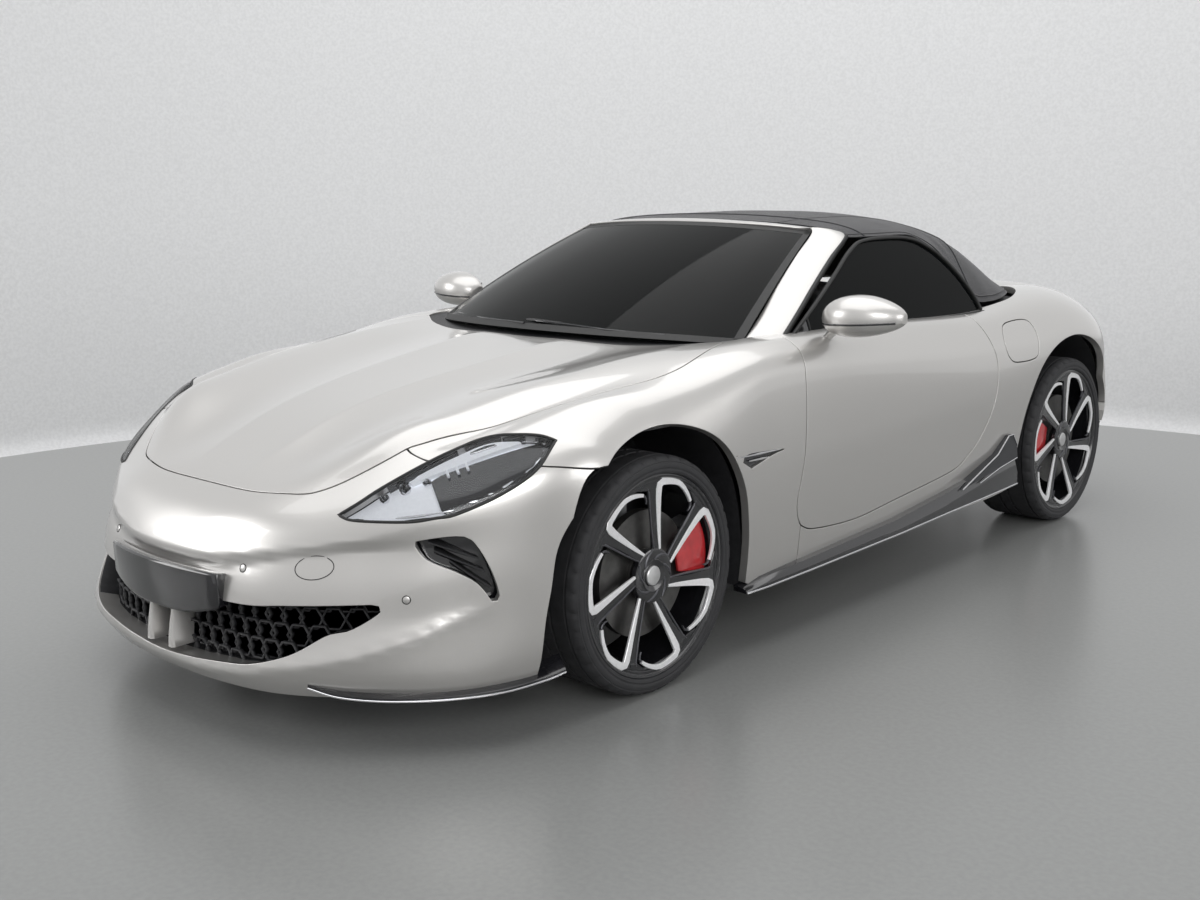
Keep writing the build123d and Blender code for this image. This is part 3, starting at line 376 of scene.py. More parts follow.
# ---------------------------------------------------------------- the body's skin
# Each row of the net goes from the centre line down to the foot, in millimetres (x, s, z): centre, bonnet
# crease, valley, wing crest, inner wing, shoulder, shoulder crease, side crease, foot.
NOSE = [
    [(0,-1020,158),(135,-1017,158),(320,-995,158),(500,-930,158),(650,-820,158),(775,-690,158),
     (850,-570,160),(890,-470,162),(912,-385,168)],
    [(0,-1046,215),(135,-1043,215),(322,-1022,215),(508,-958,215),(662,-842,215),(786,-705,217),
     (864,-580,220),(908,-475,220),(930,-390,220)],
    [(0,-1038,335),(135,-1035,335),(322,-1013,338),(506,-946,342),(660,-830,346),(784,-702,348),
     (868,-575,348),(918,-474,345),(940,-398,340)],
    [(0,-1022,465),(135,-1018,466),(320,-992,470),(502,-924,474),(654,-810,478),(778,-692,480),
     (868,-570,478),(920,-465,474),(946,-396,466)],
    [(0,-1000,535),(135,-996,537),(318,-966,541),(496,-898,546),(645,-793,552),(772,-678,560),(864,-560,568),
     (920,-455,566),(950,-385,556)],
    [(0,-956,600),(135,-950,602),(316,-930,605),(492,-867,608),(640,-784,618),(768,-676,634),(862,-546,656),
     (922,-440,662),(954,-356,650)],
    [(0,-881,655),(130,-874,659),(311,-856,662),(474,-782,687),(626,-706,702),(755,-610,715),(852,-502,734),
     (922,-400,738),(956,-306,720)],
    [(0,-805,693),(132,-800,696),(318,-777,702),(512,-696,756),(632,-612,766),(745,-520,784),(848,-420,793),
     (922,-318,780),(956,-228,742)],
    [(0,-706,737),(137,-702,737),(330,-674,746),(550,-606,814),(655,-530,790),(765,-430,817),(864,-330,813),
     (928,-240,775),(957,-150,700)],
    [(0,-530,804),(140,-527,803),(350,-505,806),(588,-450,852),(690,-370,834),(792,-270,853),(880,-180,832),
     (934,-100,768),(958,-40,670)],
    [(0,-280,861),(155,-277,861),(374,-262,860),(613,-225,889),(738,-170,872),(832,-95,877),(908,-20,828),
     (948,30,725),(958,70,590)],
    [(0,0,902),(180,0,902),(402,5,894),(627,20,917),(762,60,903),(862,90,880),(924,110,805),(952,130,650),
     (950,150,420)],
    [(0,270,936),(195,270,936),(430,272,926),(640,276,941),(784,285,930),(872,295,898),(926,300,820),
     (948,310,600),(925,320,290)],
]
MID = [
    (500,[(0,954),(200,954),(450,946),(655,952),(800,955),(872,930),(916,868),(938,600),(905,210)]),
    (800,[(0,960),(200,960),(450,958),(660,964),(806,968),(868,945),(914,874),(932,592),(900,195)]),
    (1300,[(0,955),(200,955),(450,955),(660,962),(804,966),(866,938),(913,843),(930,600),(898,195)]),
    (1800,[(0,952),(200,952),(450,952),(660,958),(800,948),(868,915),(914,806),(933,612),(900,200)]),
    (2100,[(0,950),(200,950),(450,952),(650,962),(780,950),(872,908),(922,798),(943,610),(905,205)]),
    (2400,[(0,953),(190,953),(430,962),(640,982),(785,968),(880,917),(938,802),(955,610),(922,250)]),
    (2690,[(0,955),(180,955),(410,965),(620,990),(770,980),(880,925),(945,812),(957,600),(935,330)]),
]
TAIL = [
    [(0,2960,950),(160,2960,950),(385,2958,955),(605,2950,970),(750,2935,955),(878,2925,890),(943,2910,780),
     (955,2890,590),(940,2870,400)],
    [(0,3200,946),(150,3199,946),(370,3195,946),(590,3175,932),(715,3150,905),(830,3120,850),(908,3080,750),
     (934,3040,600),(930,3010,470)],
    [(0,3415,938),(150,3412,938),(360,3396,934),(550,3348,912),(660,3303,878),(765,3248,820),(852,3188,735),
     (905,3120,620),(922,3060,510)],
    [(0,3452,905),(150,3449,905),(358,3430,900),(540,3378,880),(650,3330,846),(758,3268,795),(848,3200,715),
     (905,3127,605),(922,3070,500)],
    [(0,3472,840),(150,3469,840),(355,3449,835),(535,3396,820),(648,3345,795),(758,3280,750),(848,3210,680),
     (906,3134,580),(923,3078,480)],
    [(0,3488,720),(150,3485,720),(352,3466,717),(532,3412,707),(646,3358,690),(757,3292,655),(848,3218,605),
     (908,3140,535),(924,3084,450)],
    [(0,3491,560),(150,3488,560),(348,3469,558),(528,3418,552),(642,3364,545),(754,3297,525),(846,3222,495),
     (908,3143,450),(924,3088,400)],
    [(0,3478,420),(150,3475,420),(342,3456,420),(520,3406,418),(634,3354,416),(746,3290,410),(838,3218,400),
     (902,3140,380),(920,3088,350)],
    [(0,3440,300),(150,3437,300),(335,3419,300),(508,3372,300),(620,3324,300),(730,3264,300),(822,3196,300),
     (886,3124,295),(905,3078,290)],
]
CELL = 15.0    # the skin's grid, in millimetres
FAR = -400.0    # well outside an outline


def spline(knots, values, at):
    """A natural cubic spline through values at the knots."""
    count = len(knots)
    step = np.diff(knots)
    values = np.asarray(values, float)
    system = np.zeros((count, count))
    right = np.zeros_like(values)
    system[0, 0] = system[-1, -1] = 1
    for i in range(1, count - 1):
        system[i, i - 1], system[i, i], system[i, i + 1] = step[i - 1], 2 * (step[i - 1] + step[i]), step[i]
        right[i] = 6 * ((values[i + 1] - values[i]) / step[i] - (values[i] - values[i - 1]) / step[i - 1])
    bend = np.linalg.solve(system, right.reshape(count, -1)).reshape(values.shape)
    k = np.clip(np.searchsorted(knots, at) - 1, 0, count - 2)
    form = (-1,) + (1,) * (values.ndim - 1)
    after, before, wide = ((at - knots[k]).reshape(form), (knots[k + 1] - at).reshape(form),
                           step[k].reshape(form))
    return ((bend[k] * before ** 3 + bend[k + 1] * after ** 3) / (6 * wide)
            + (values[k] / wide - bend[k] * wide / 6) * before
            + (values[k + 1] / wide - bend[k + 1] * wide / 6) * after)


def body_grid():
    """A fine grid of the skin, how far each of its columns lies across, and where the drawn columns lie."""
    rows = [list(r) for r in NOSE] + [[(x, s, z) for x, z in r] for s, r in MID] + [list(r) for r in TAIL]
    net = np.array(rows, float)
    for row, lower in ((9, 6), (10, 6), (11, 5), (12, 4)):
        net[row, 4, 2] -= lower
    along = np.concatenate([[0], np.cumsum(np.linalg.norm(np.diff(net, axis=0), axis=2).mean(axis=1))])
    across = np.concatenate([[0], np.cumsum(np.linalg.norm(np.diff(net, axis=1), axis=2).mean(axis=0))])

    def steps(knots):
        out = [knots[0]]
        for a, b in zip(knots[:-1], knots[1:]):
            out += list(np.linspace(a, b, max(2, int(round((b - a) / CELL)) + 1))[1:])
        return np.array(out)

    u, v = steps(along), steps(across)
    whole = np.concatenate([net[:, :0:-1] * [-1, 1, 1], net], axis=1)
    knots = np.concatenate([-across[:0:-1], across])
    grid = spline(along, whole, u)
    grid = spline(knots, grid.transpose(1, 0, 2), v).transpose(1, 0, 2)
    grid[:, 0, 0] = 0
    return grid, v, across


def grid_normals(grid):
    du = np.gradient(grid, axis=0)
    dv = np.gradient(grid, axis=1)
    dv[:, 0] = [1, 0, 0]
    facing = np.cross(du, dv)
    facing /= np.linalg.norm(facing, axis=2)[..., None]
    if facing[len(grid) // 2, 0, 2] < 0:
        facing = -facing
    return facing


GRID, ACROSS, ACROSS_KNOTS = body_grid()
NORMAL = grid_normals(GRID)


def fade(at, *marks):
    """A level that runs through (place, height) marks, smoothly."""
    return np.interp(at, [m[0] for m in marks], [m[1] for m in marks])


# Creases: column or row, height in millimetres, reach, and where along the car they fade
S_OF_U = GRID[:, 4, 1]
for column, height, reach, marks in (
        (1, 4.6, 46, ((-860, 0), (-650, 1), (300, 1), (420, 0))),
        (3, 4.2, 44, ((-560, 0), (-300, 1), (450, 1), (600, 0))),
        (6, 4.0, 45, ((250, 0), (480, 1), (1900, 1), (2500, 0.6), (3050, 1), (3200, 0.4))),
        (7, 3.0, 50, ((520, 0), (800, 1), (1900, 0.8), (2100, 0)))):
    rise = height * np.exp(-np.abs(ACROSS - ACROSS_KNOTS[column]) / reach)
    GRID += NORMAL * (fade(S_OF_U, *marks)[:, None] * rise[None, :])[..., None]
# the nose's overhang: the face below its edge is set back
edge_height = np.interp(GRID[:, :, 0], (0, 131, 265, 432, 582, 718, 800), (480, 483, 497, 528, 553, 570, 582))
below = edge_height - GRID[:, :, 2]
reach = np.interp(GRID[:, :, 0], (0, 640, 745), (1, 1, 0)) * (GRID[:, :, 1] < -500)
set_back = np.clip((below + 7) / 14, 0, 1) * np.exp(-np.clip(below, 0, None) / 95) * 13 - 4 * np.exp(
    -np.abs(below + 8) / 30)
NORMAL = grid_normals(GRID)
GRID -= NORMAL * (set_back * reach)[..., None]
NORMAL = grid_normals(GRID)
# the lip's ridge, from the side vent down under the intake
ridge = np.interp(GRID[:, :, 0], (0, 120, 271, 400, 520, 640, 760, 863),
                  (196, 198, 210, 226, 250, 284, 332, 396))
off = GRID[:, :, 2] - ridge
lift = np.where(off > 0, np.exp(-np.abs(off) / 20), np.exp(-np.abs(off) / 46))
lift = lift * np.interp(GRID[:, :, 0], (0, 780, 870), (1, 1, 0)) * (GRID[:, :, 1] < -400)
GRID += NORMAL * (15.0 * lift)[..., None]
# the wing is faired ahead of the arch, where the nose rows meet the side rows
faired = 0.5 * np.exp(-((GRID[:, :, 1] + 205) / 75) ** 2 - ((GRID[:, :, 2] - 730) / 60) ** 2)
faired *= GRID[:, :, 0] > 800
for _ in range(90):
    GRID[1:-1] += faired[1:-1, :, None] * ((GRID[:-2] + GRID[2:]) / 2 - GRID[1:-1])
NORMAL = grid_normals(GRID)
POINTS = GRID.reshape(-1, 3)
FACING = NORMAL.reshape(-1, 3)
WIDE = len(ACROSS)
QUADS = np.array([(i * WIDE + j, (i + 1) * WIDE + j, (i + 1) * WIDE + j + 1, i * WIDE + j + 1)
                  for i in range(len(GRID) - 1) for j in range(WIDE - 1)])
VIEWS = {"top": ((1, 0, 0), (0, 1, 0), (0, 0, 1)), "side": ((0, 1, 0), (0, 0, 1), (1, 0, 0)),
         "front": ((1, 0, 0), (0, 0, 1), (0, -1, 0)), "rear": ((1, 0, 0), (0, 0, 1), (0, 1, 0))}
slanted = np.array([0.6, -0.6, 0.52]) / np.linalg.norm([0.6, -0.6, 0.52])
level = np.array([0.7071, 0.7071, 0.0])
VIEWS["slant"] = (tuple(level), tuple(np.cross(slanted, level)), tuple(slanted))


def project(view, points):
    a, b, _ = VIEWS[view]
    points = np.asarray(points, float)
    return np.stack([points @ np.array(a), points @ np.array(b)], axis=-1)


def inside_by(points, outline):
    """Signed distance to a closed outline, positive inside, with the direction it grows in."""
    best = np.full(len(points), 1e9)
    grow = np.zeros((len(points), 2))
    crossings = np.zeros(len(points), int)
    for p, q in zip(outline, np.roll(outline, -1, axis=0)):
        d = q - p
        length = d @ d
        if length < 1e-9:
            continue
        t = np.clip(((points - p) @ d) / length, 0, 1)
        apart = points - (p + t[:, None] * d)
        far = np.hypot(apart[:, 0], apart[:, 1])
        near = far < best
        best[near] = far[near]
        grow[near] = apart[near] / np.maximum(far[near], 1e-9)[:, None]
        up = (p[1] <= points[:, 1]) & (q[1] > points[:, 1])
        down = (q[1] <= points[:, 1]) & (p[1] > points[:, 1])
        side = d[0] * (points[:, 1] - p[1]) - d[1] * (points[:, 0] - p[0])
        crossings += (up & (side > 0)).astype(int) - (down & (side < 0)).astype(int)
    sign = np.where(crossings != 0, 1.0, -1.0)
    return best * sign, grow * sign[:, None]


def field(view, outline, spread=True, facing=-0.2, steps=6, smooth=True):
    """How far each point of the skin lies inside an outline, measured along the skin."""
    outline = np.asarray(outline, float)
    if outline.shape[1] == 3:
        outline = project(view, outline)
    if smooth:
        outline = smooth_line(outline, steps, closed=True)
    flat = project(view, POINTS)
    low, high = outline.min(axis=0) - 150, outline.max(axis=0) + 150
    close = np.all((flat > low) & (flat < high), axis=1)
    value = np.full(len(POINTS), FAR)
    apart, grow = inside_by(flat[close], outline)
    if spread:
        a, b, _ = VIEWS[view]
        across = grow[:, :1] * np.array(a) + grow[:, 1:] * np.array(b)
        slant = np.sqrt(np.clip(1 - np.einsum("ij,ij->i", across, FACING[close]) ** 2, 0.08, 1))
        apart = apart / slant
    value[close] = apart
    value[FACING @ np.array(VIEWS[view][2]) < facing] = FAR
    return value


def spot(view, a, b):
    """The place on the skin seen at (a, b) in a view, and its outward normal."""
    if view in ("front", "rear", "top") and a < 0:
        p, n = spot(view, -a, b)
        return p * [-1, 1, 1], n * [-1, 1, 1]
    flat = project(view, POINTS)
    far = np.hypot(flat[:, 0] - a, flat[:, 1] - b)
    far[FACING @ np.array(VIEWS[view][2]) < 0.02] = 1e9
    near = int(np.argmin(far))
    p, n = POINTS[near], FACING[near]
    va, vb, vc = (np.array(v) for v in VIEWS[view])
    start = va * a + vb * b + vc * (p @ vc)
    start = start + vc * (((p - start) @ n) / (vc @ n))
    return start, n


def clip(table, faces, column):
    """Keeps the part of every face where the column is not negative."""
    values = table[:, column]
    cuts, added, kept = {}, [], []
    total = len(table)
    for face in faces:
        inside = [values[i] >= 0 for i in face]
        if all(inside):
            kept.append(face)
            continue
        if not any(inside):
            continue
        out = []
        for k, a in enumerate(face):
            b = face[(k + 1) % len(face)]
            if inside[k]:
                out.append(a)
            if inside[k] != inside[(k + 1) % len(face)]:
                key = (a, b) if a < b else (b, a)
                if key not in cuts:
                    va, vb = values[key[0]], values[key[1]]
                    t = min(max(va / (va - vb), 0.001), 0.999)
                    added.append(table[key[0]] * (1 - t) + table[key[1]] * t)
                    cuts[key] = total + len(added) - 1
                out.append(cuts[key])
        if len(out) > 2:
            kept.append(tuple(out))
    if added:
        table = np.vstack([table, added])
    return table, kept


def tightened(faces):
    """The points that faces use, and the faces numbered by them."""
    used = sorted({i for f in faces for i in f})
    number = {old: new for new, old in enumerate(used)}
    return used, [tuple(number[i] for i in f) for f in faces]


def skin_panel(name, body, slot, fields, material, centre=False, radius=1.6, gap=1.75, depth=12.0,
               inner=False, replaced=(), offset=0.0, side=1, lining=None):
    """A panel cut from the skin: rolled edges, a return all round, and an inside where it shows."""
    margin = gap + radius
    table = np.column_stack([POINTS + FACING * offset, FACING] + [f - margin for f in fields])
    corner = table[QUADS][:, :, 6:]
    inside = corner.min(axis=(1, 2)) >= 0
    outside = (corner.max(axis=1) < 0).any(axis=1)
    mixed = [tuple(q) for q in QUADS[~inside & ~outside]]
    for column in range(6, table.shape[1]):
        table, mixed = clip(table, mixed, column)
    faces = [tuple(int(i) for i in q) for q in QUADS[inside]] + [tuple(int(i) for i in f) for f in mixed]
    used, faces = tightened(faces)
    points = table[used, :3].copy()
    normals = table[used, 3:6].copy()
    normals /= np.linalg.norm(normals, axis=1)[:, None]
    middle = np.abs(points[:, 0]) < 0.01
    if centre:
        points[middle, 0] = 0
        normals[middle, 0] = 0
    a, b, c = (points[faces[0][k]] for k in range(3))
    if np.cross(b - a, c - a) @ normals[faces[0][0]] < 0:
        faces = [tuple(reversed(f)) for f in faces]
    edges = {(f[k], f[(k + 1) % len(f)]) for f in faces for k in range(len(f))}
    rim = [(p, q) for p, q in edges if (q, p) not in edges and not (centre and middle[p] and middle[q])]
    outward = np.zeros_like(points)
    for p, q in rim:
        away = np.cross(points[q] - points[p], normals[p] + normals[q])
        outward[p] += away
        outward[q] += away
    if centre:
        outward[middle, 0] = 0
    edge = sorted({i for pair in rim for i in pair})
    place = {i: k for k, i in enumerate(edge)}
    d = outward[edge]
    n = normals[edge]
    d -= n * np.einsum("ij,ij->i", d, n)[:, None]
    d /= np.maximum(np.linalg.norm(d, axis=1), 1e-9)[:, None]
    base = points[edge]
    rings, shades = [], []
    for angle in (35, 65, 90):
        a = math.radians(angle)
        rings.append(base + d * radius * math.sin(a) - n * radius * (1 - math.cos(a)))
        shades.append(n * math.cos(a) + d * math.sin(a))
    rings.append(base + d * radius - n * (radius + depth))
    shades.append(d)
    count = len(points)
    all_points = [points] + rings
    all_normals = [normals] + shades
    extra = []
    for p, q in rim:
        chain_p = [p] + [count + k * len(edge) + place[p] for k in range(4)]
        chain_q = [q] + [count + k * len(edge) + place[q] for k in range(4)]
        for k in range(4):
            extra.append((chain_q[k], chain_p[k], chain_p[k + 1], chain_q[k + 1]))
    total = count + 4 * len(edge)
    backs = []
    if inner:
        all_points.append(points - normals * (radius + depth))
        all_normals.append(-normals)
        backs = [tuple(total + i for i in reversed(f)) for f in faces]
        for p, q in rim:
            last_p, last_q = count + 3 * len(edge) + place[p], count + 3 * len(edge) + place[q]
            backs.append((last_q, last_p, total + p, total + q))
    points, normals = np.vstack(all_points), np.vstack(all_normals)
    every = faces + extra + backs
    kinds = [0] * (len(faces) + len(extra)) + [1 if lining else 0] * len(backs)
    if centre:
        twin = np.arange(len(points)) + len(points)
        same = np.abs(points[:, 0]) < 0.01
        twin[same] = np.arange(len(points))[same]
        mirrored = [tuple(int(twin[i]) for i in reversed(f)) for f in every]
        points = np.vstack([points, points * [-1, 1, 1]])
        normals = np.vstack([normals, normals * [-1, 1, 1]])
        every = every + mirrored
        kinds = kinds + kinds
        used, every = tightened(every)
        points, normals = points[used], normals[used]
    elif side < 0:
        points, normals = points * [-1, 1, 1], normals * [-1, 1, 1]
        every = [tuple(reversed(f)) for f in every]
    mesh = mesh_of(name, to_frame(points), every, [material] + ([lining] if lining else []), kinds)
    mesh.shade_smooth()
    mesh.normals_split_custom_set_from_vertices([tuple(n) for n in normals])
    fit_out(object_of(name, mesh), body, slot, *replaced)


# Outlines, in millimetres; a point that is given twice is a corner
BONNET_HALF = [(0, -879), (153, -878), (264, -867), (391, -834), (456, -793), (517, -730), (563, -668),
               (590, -615), (590, -615), (612, -575), (650, -480), (690, -385), (722, -280), (752, -160),
               (785, 0), (803, 130), (800, 260), (770, 420), (735, 545), (712, 575), (712, 575), (560, 478),
               (300, 402), (0, 385)]
LAMP = [(541, -824, 631), (541, -824, 631), (579, -815, 622), (645, -780, 621), (717, -727, 622),
        (764, -681, 631), (794, -645, 637), (842, -570, 668), (878, -497, 705), (896, -436, 745),
        (879, -357, 800), (879, -357, 800), (840, -378, 812), (792, -420, 815), (726, -468, 806),
        (693, -549, 782), (661, -616, 754), (600, -727, 694), (571, -781, 660)]
SIDE_VENT = [(721, -727, 568), (721, -727, 568), (753, -697, 575), (796, -650, 580), (819, -622, 573),
             (836, -604, 543), (854, -588, 498), (866, -576, 452), (870, -570, 416), (863, -582, 401),
             (863, -582, 401), (842, -613, 455), (811, -650, 487), (753, -706, 523)]
GRILLE_HALF = [(0, 385), (333, 388), (459, 399), (575, 405), (668, 409), (668, 409), (674, 391), (621, 347),
               (574, 333), (520, 293), (470, 268), (380, 242), (271, 229), (142, 216), (0, 208)]
FRONT_ARCH = [(-462, 60), (-462, 200), (-456, 309), (-437, 412), (-405, 550), (-300, 672), (-171, 755),
              (0, 792), (171, 762), (300, 688), (392, 560), (430, 430), (445, 300), (440, 60), (440, 60),
              (-462, 60)]
REAR_ARCH = [(2690 + s, z) for s, z in ((-445, 60), (-448, 300), (-436, 430), (-400, 560), (-310, 690),
                                        (-172, 770), (0, 800), (172, 770), (310, 690), (400, 560),
                                        (436, 430), (448, 300), (445, 60), (445, 60), (-445, 60))]
DOOR = [(752, 1100), (752, 1100), (752, 975), (742, 850), (735, 700), (728, 600), (713, 510), (700, 440),
        (713, 385), (745, 352), (828, 328), (1074, 313), (1338, 333), (1623, 357), (1774, 378), (1850, 415),
        (1935, 478), (2014, 600), (2040, 739), (2016, 837), (1970, 919), (1950, 975), (1950, 1100),
        (1950, 1100)]
BUMPER = [(-624, 960), (-624, 960), (-624, 771), (-616, 754), (-445, 746), (-392, 739), (-308, 724),
          (-205, 712), (-100, 600), (-100, 600), (-100, 0), (-100, 0), (-1300, 0), (-1300, 0), (-1300, 960),
          (-1300, 960)]
CABIN_HALF = [(0, 545), (330, 560), (560, 625), (690, 760), (775, 830), (806, 960), (806, 1960), (790, 2080),
              (792, 2240), (780, 2430), (715, 2600), (600, 2710), (400, 2780), (0, 2800)]
BOOT_HALF = [(0, 2880), (430, 2880), (540, 2930), (560, 3040), (510, 3370), (510, 3370), (0, 3400)]
FLAP = [(2118, 815), (2135, 872), (2190, 893), (2330, 893), (2372, 855), (2372, 790), (2340, 742),
        (2190, 738), (2135, 762)]


def both_halves(half):
    return list(half) + [(-x, y) for x, y in reversed(half) if x > 0]


def corners(outline):
    return [p for p in outline for _ in (0, 1)]


BONNET_F = field("top", both_halves(BONNET_HALF))
LAMP_F = field("slant", LAMP, facing=0.1)
VENT_F = field("slant", SIDE_VENT, facing=0.1)
GRILLE_F = field("front", both_halves(GRILLE_HALF), facing=0.1)
OUTER = POINTS[:, 0] > 560
ARCH_F = np.where(OUTER, np.maximum(field("side", FRONT_ARCH), field("side", REAR_ARCH)), FAR)
S_OF, Z_OF = POINTS[:, 1], POINTS[:, 2]
ARCH_TOP = [mark for mark in FRONT_ARCH if mark[1] >= 550]
UNDER_ARCH = np.interp(S_OF, *zip(*ARCH_TOP)) - Z_OF
ARCH_F = np.where(OUTER & (S_OF > -400) & (S_OF < 390) & (Z_OF > 60),
                  np.maximum(ARCH_F, UNDER_ARCH), ARCH_F)
DOOR_F = np.where(OUTER, field("side", DOOR), FAR)
BUMPER_F = field("side", corners(BUMPER), spread=False, facing=-2, smooth=False)
CABIN_F = field("top", both_halves(CABIN_HALF), facing=0.0)
BOOT_F = field("top", both_halves(BOOT_HALF), facing=0.0)
FLAP_F = field("side", FLAP, facing=0.1)
WING_VENT_F = field("side", corners([(343, 651), (474, 643), (614, 632), (530, 615), (430, 602)]), facing=0.1,
                    smooth=False)
WING_F = 733.0 + 40.0 * np.clip((Z_OF - 420.0) / 80.0, 0.0, 1.0) - S_OF
COWL_F = field("top", both_halves([(0, 385), (300, 402), (560, 478), (712, 575), (745, 700), (745, 700),
                                   (600, 800), (0, 800)]), facing=0.0)
LAMP_BAND = np.minimum(25.0 - np.abs(Z_OF - 800.0), (S_OF - 3125.0))
LOW_TAIL = np.minimum(775.0 - Z_OF, S_OF - 3128.0)
DIFFUSER_F = np.minimum(425.0 - Z_OF - 0.00012 * np.minimum(POINTS[:, 0], 700.0) ** 2, S_OF - 3128.0)


# ---------------------------------------------------------------- body panels
def body_panels():
    skin_panel("bonnet_skin", "bonnet", "paint", [BONNET_F], PAINT, centre=True, inner=True, depth=10,
               replaced=("bonnet",), lining=DARK_METAL)
    skin_panel("nose_skin", SHELL, "paint", [BUMPER_F, -BONNET_F, -LAMP_F, -VENT_F, -GRILLE_F, -ARCH_F],
               PAINT, centre=True, depth=26, replaced=("front_bumper", "nose_panel"))
    for side, sign in SIDES:
        skin_panel("front_wing_" + side, SHELL, "paint",
                   [WING_F, -BUMPER_F, -BONNET_F, -LAMP_F, -ARCH_F, -DOOR_F, -CABIN_F, -COWL_F, -WING_VENT_F],
                   PAINT, side=sign, depth=26, replaced=("front_fenders",))
        skin_panel("door_skin_" + side, "door_" + side, "paint", [DOOR_F, -CABIN_F], PAINT, side=sign,
                   depth=24, inner=True, replaced=("door_" + side,), lining=HIDE)
        skin_panel("rear_quarter_" + side, SHELL, "paint",
                   [-WING_F, -DOOR_F, -CABIN_F, -ARCH_F, -BOOT_F, -LAMP_BAND, -LOW_TAIL, -COWL_F]
                   + ([-FLAP_F] if sign > 0 else []) + [POINTS[:, 0] + 3.35], PAINT, side=sign, depth=26,
                   replaced=("rear_quarters", "rear_deck", "side_sills"))
    skin_panel("cowl_skin", SHELL, "matte_trim", [COWL_F, -BONNET_F], BLACK, centre=True, depth=8,
               replaced=("cowl",), offset=-6)
    skin_panel("tonneau_well", SHELL, "matte_trim", [CABIN_F + 6, S_OF - 2080], BLACK, centre=True, depth=4,
               gap=0, offset=-42)
    skin_panel("charge_flap_skin", "charge_flap", "paint", [FLAP_F], PAINT, inner=True, depth=6,
               replaced=("charge_flap",), lining=BLACK)
    skin_panel("boot_lid_skin", "boot_lid", "paint", [BOOT_F, -LAMP_BAND], PAINT, centre=True, inner=True,
               depth=14, replaced=("boot_lid",), lining=DARK_METAL)
    skin_panel("tail_lamp_band", SHELL, "lamp", [LAMP_BAND], LAMP_RED, centre=True, replaced=("tail_lamps",),
               offset=-3, gap=1)
    skin_panel("rear_bumper_skin", SHELL, "paint", [LOW_TAIL, -DIFFUSER_F, -ARCH_F], PAINT, centre=True,
               depth=26, replaced=("rear_bumper",))
    skin_panel("rear_diffuser_skin", SHELL, "matte_trim", [DIFFUSER_F, -ARCH_F], BLACK, centre=True, depth=30,
               replaced=("rear_diffuser",), offset=-4)

body_panels()


# ---------------------------------------------------------------- wheels
def ribbon(line, widths, tops, depth, number=0, edge=1.2):
    """A bar laid along a line in the wheel's face: (along, up) places, widths, outer heights."""
    line = [np.asarray(p, float) for p in line]
    rings = []
    for i, here in enumerate(line):
        run = line[min(i + 1, len(line) - 1)] - line[max(i - 1, 0)]
        d = run / max(np.linalg.norm(run), 1e-6)
        across = np.array([-d[1], d[0]])
        half, top = widths[i] / 2, tops[i]
        e = min(edge, half * 0.6)
        ring = []
        for t, a in ((-half, top - depth), (-half, top - e), (-half + e, top), (half - e, top),
                     (half, top - e), (half, top - depth)):
            ring.append((a, *(here + across * t)))
        rings.append(ring)
    return loft(rings, number=number)


def polar(radius, angle, offset=0.0):
    """A place in the wheel's face: clockwise from the top, with a clockwise offset square to the spoke."""
    a = math.radians(angle)
    return np.array([radius * math.sin(a) + offset * math.cos(a),
                     radius * math.cos(a) - offset * math.sin(a)])


def face_height(lip, radius):
    return lip - 12 + 10 * max(0.0, (radius - 70) / 215) ** 2


SPOKES = 7
# Turned pieces of the rim: steps, material, then (radius, height over the lip)
RIM_TURNED = (
    (72, 0, [(46, -12), (74, -10.5), (80, -13), (82, -25), (76, -25.6), (46, -25.6)]),
    (72, 0, [(0.1, -17), (32, -17), (44, -10), (47, -9.4), (49, -11), (49, -24), (0.1, -24)]),
    (48, 3, [(0.1, -8.5), (20, -8.8), (27, -10), (29, -12), (29, -18), (0.1, -18)]))


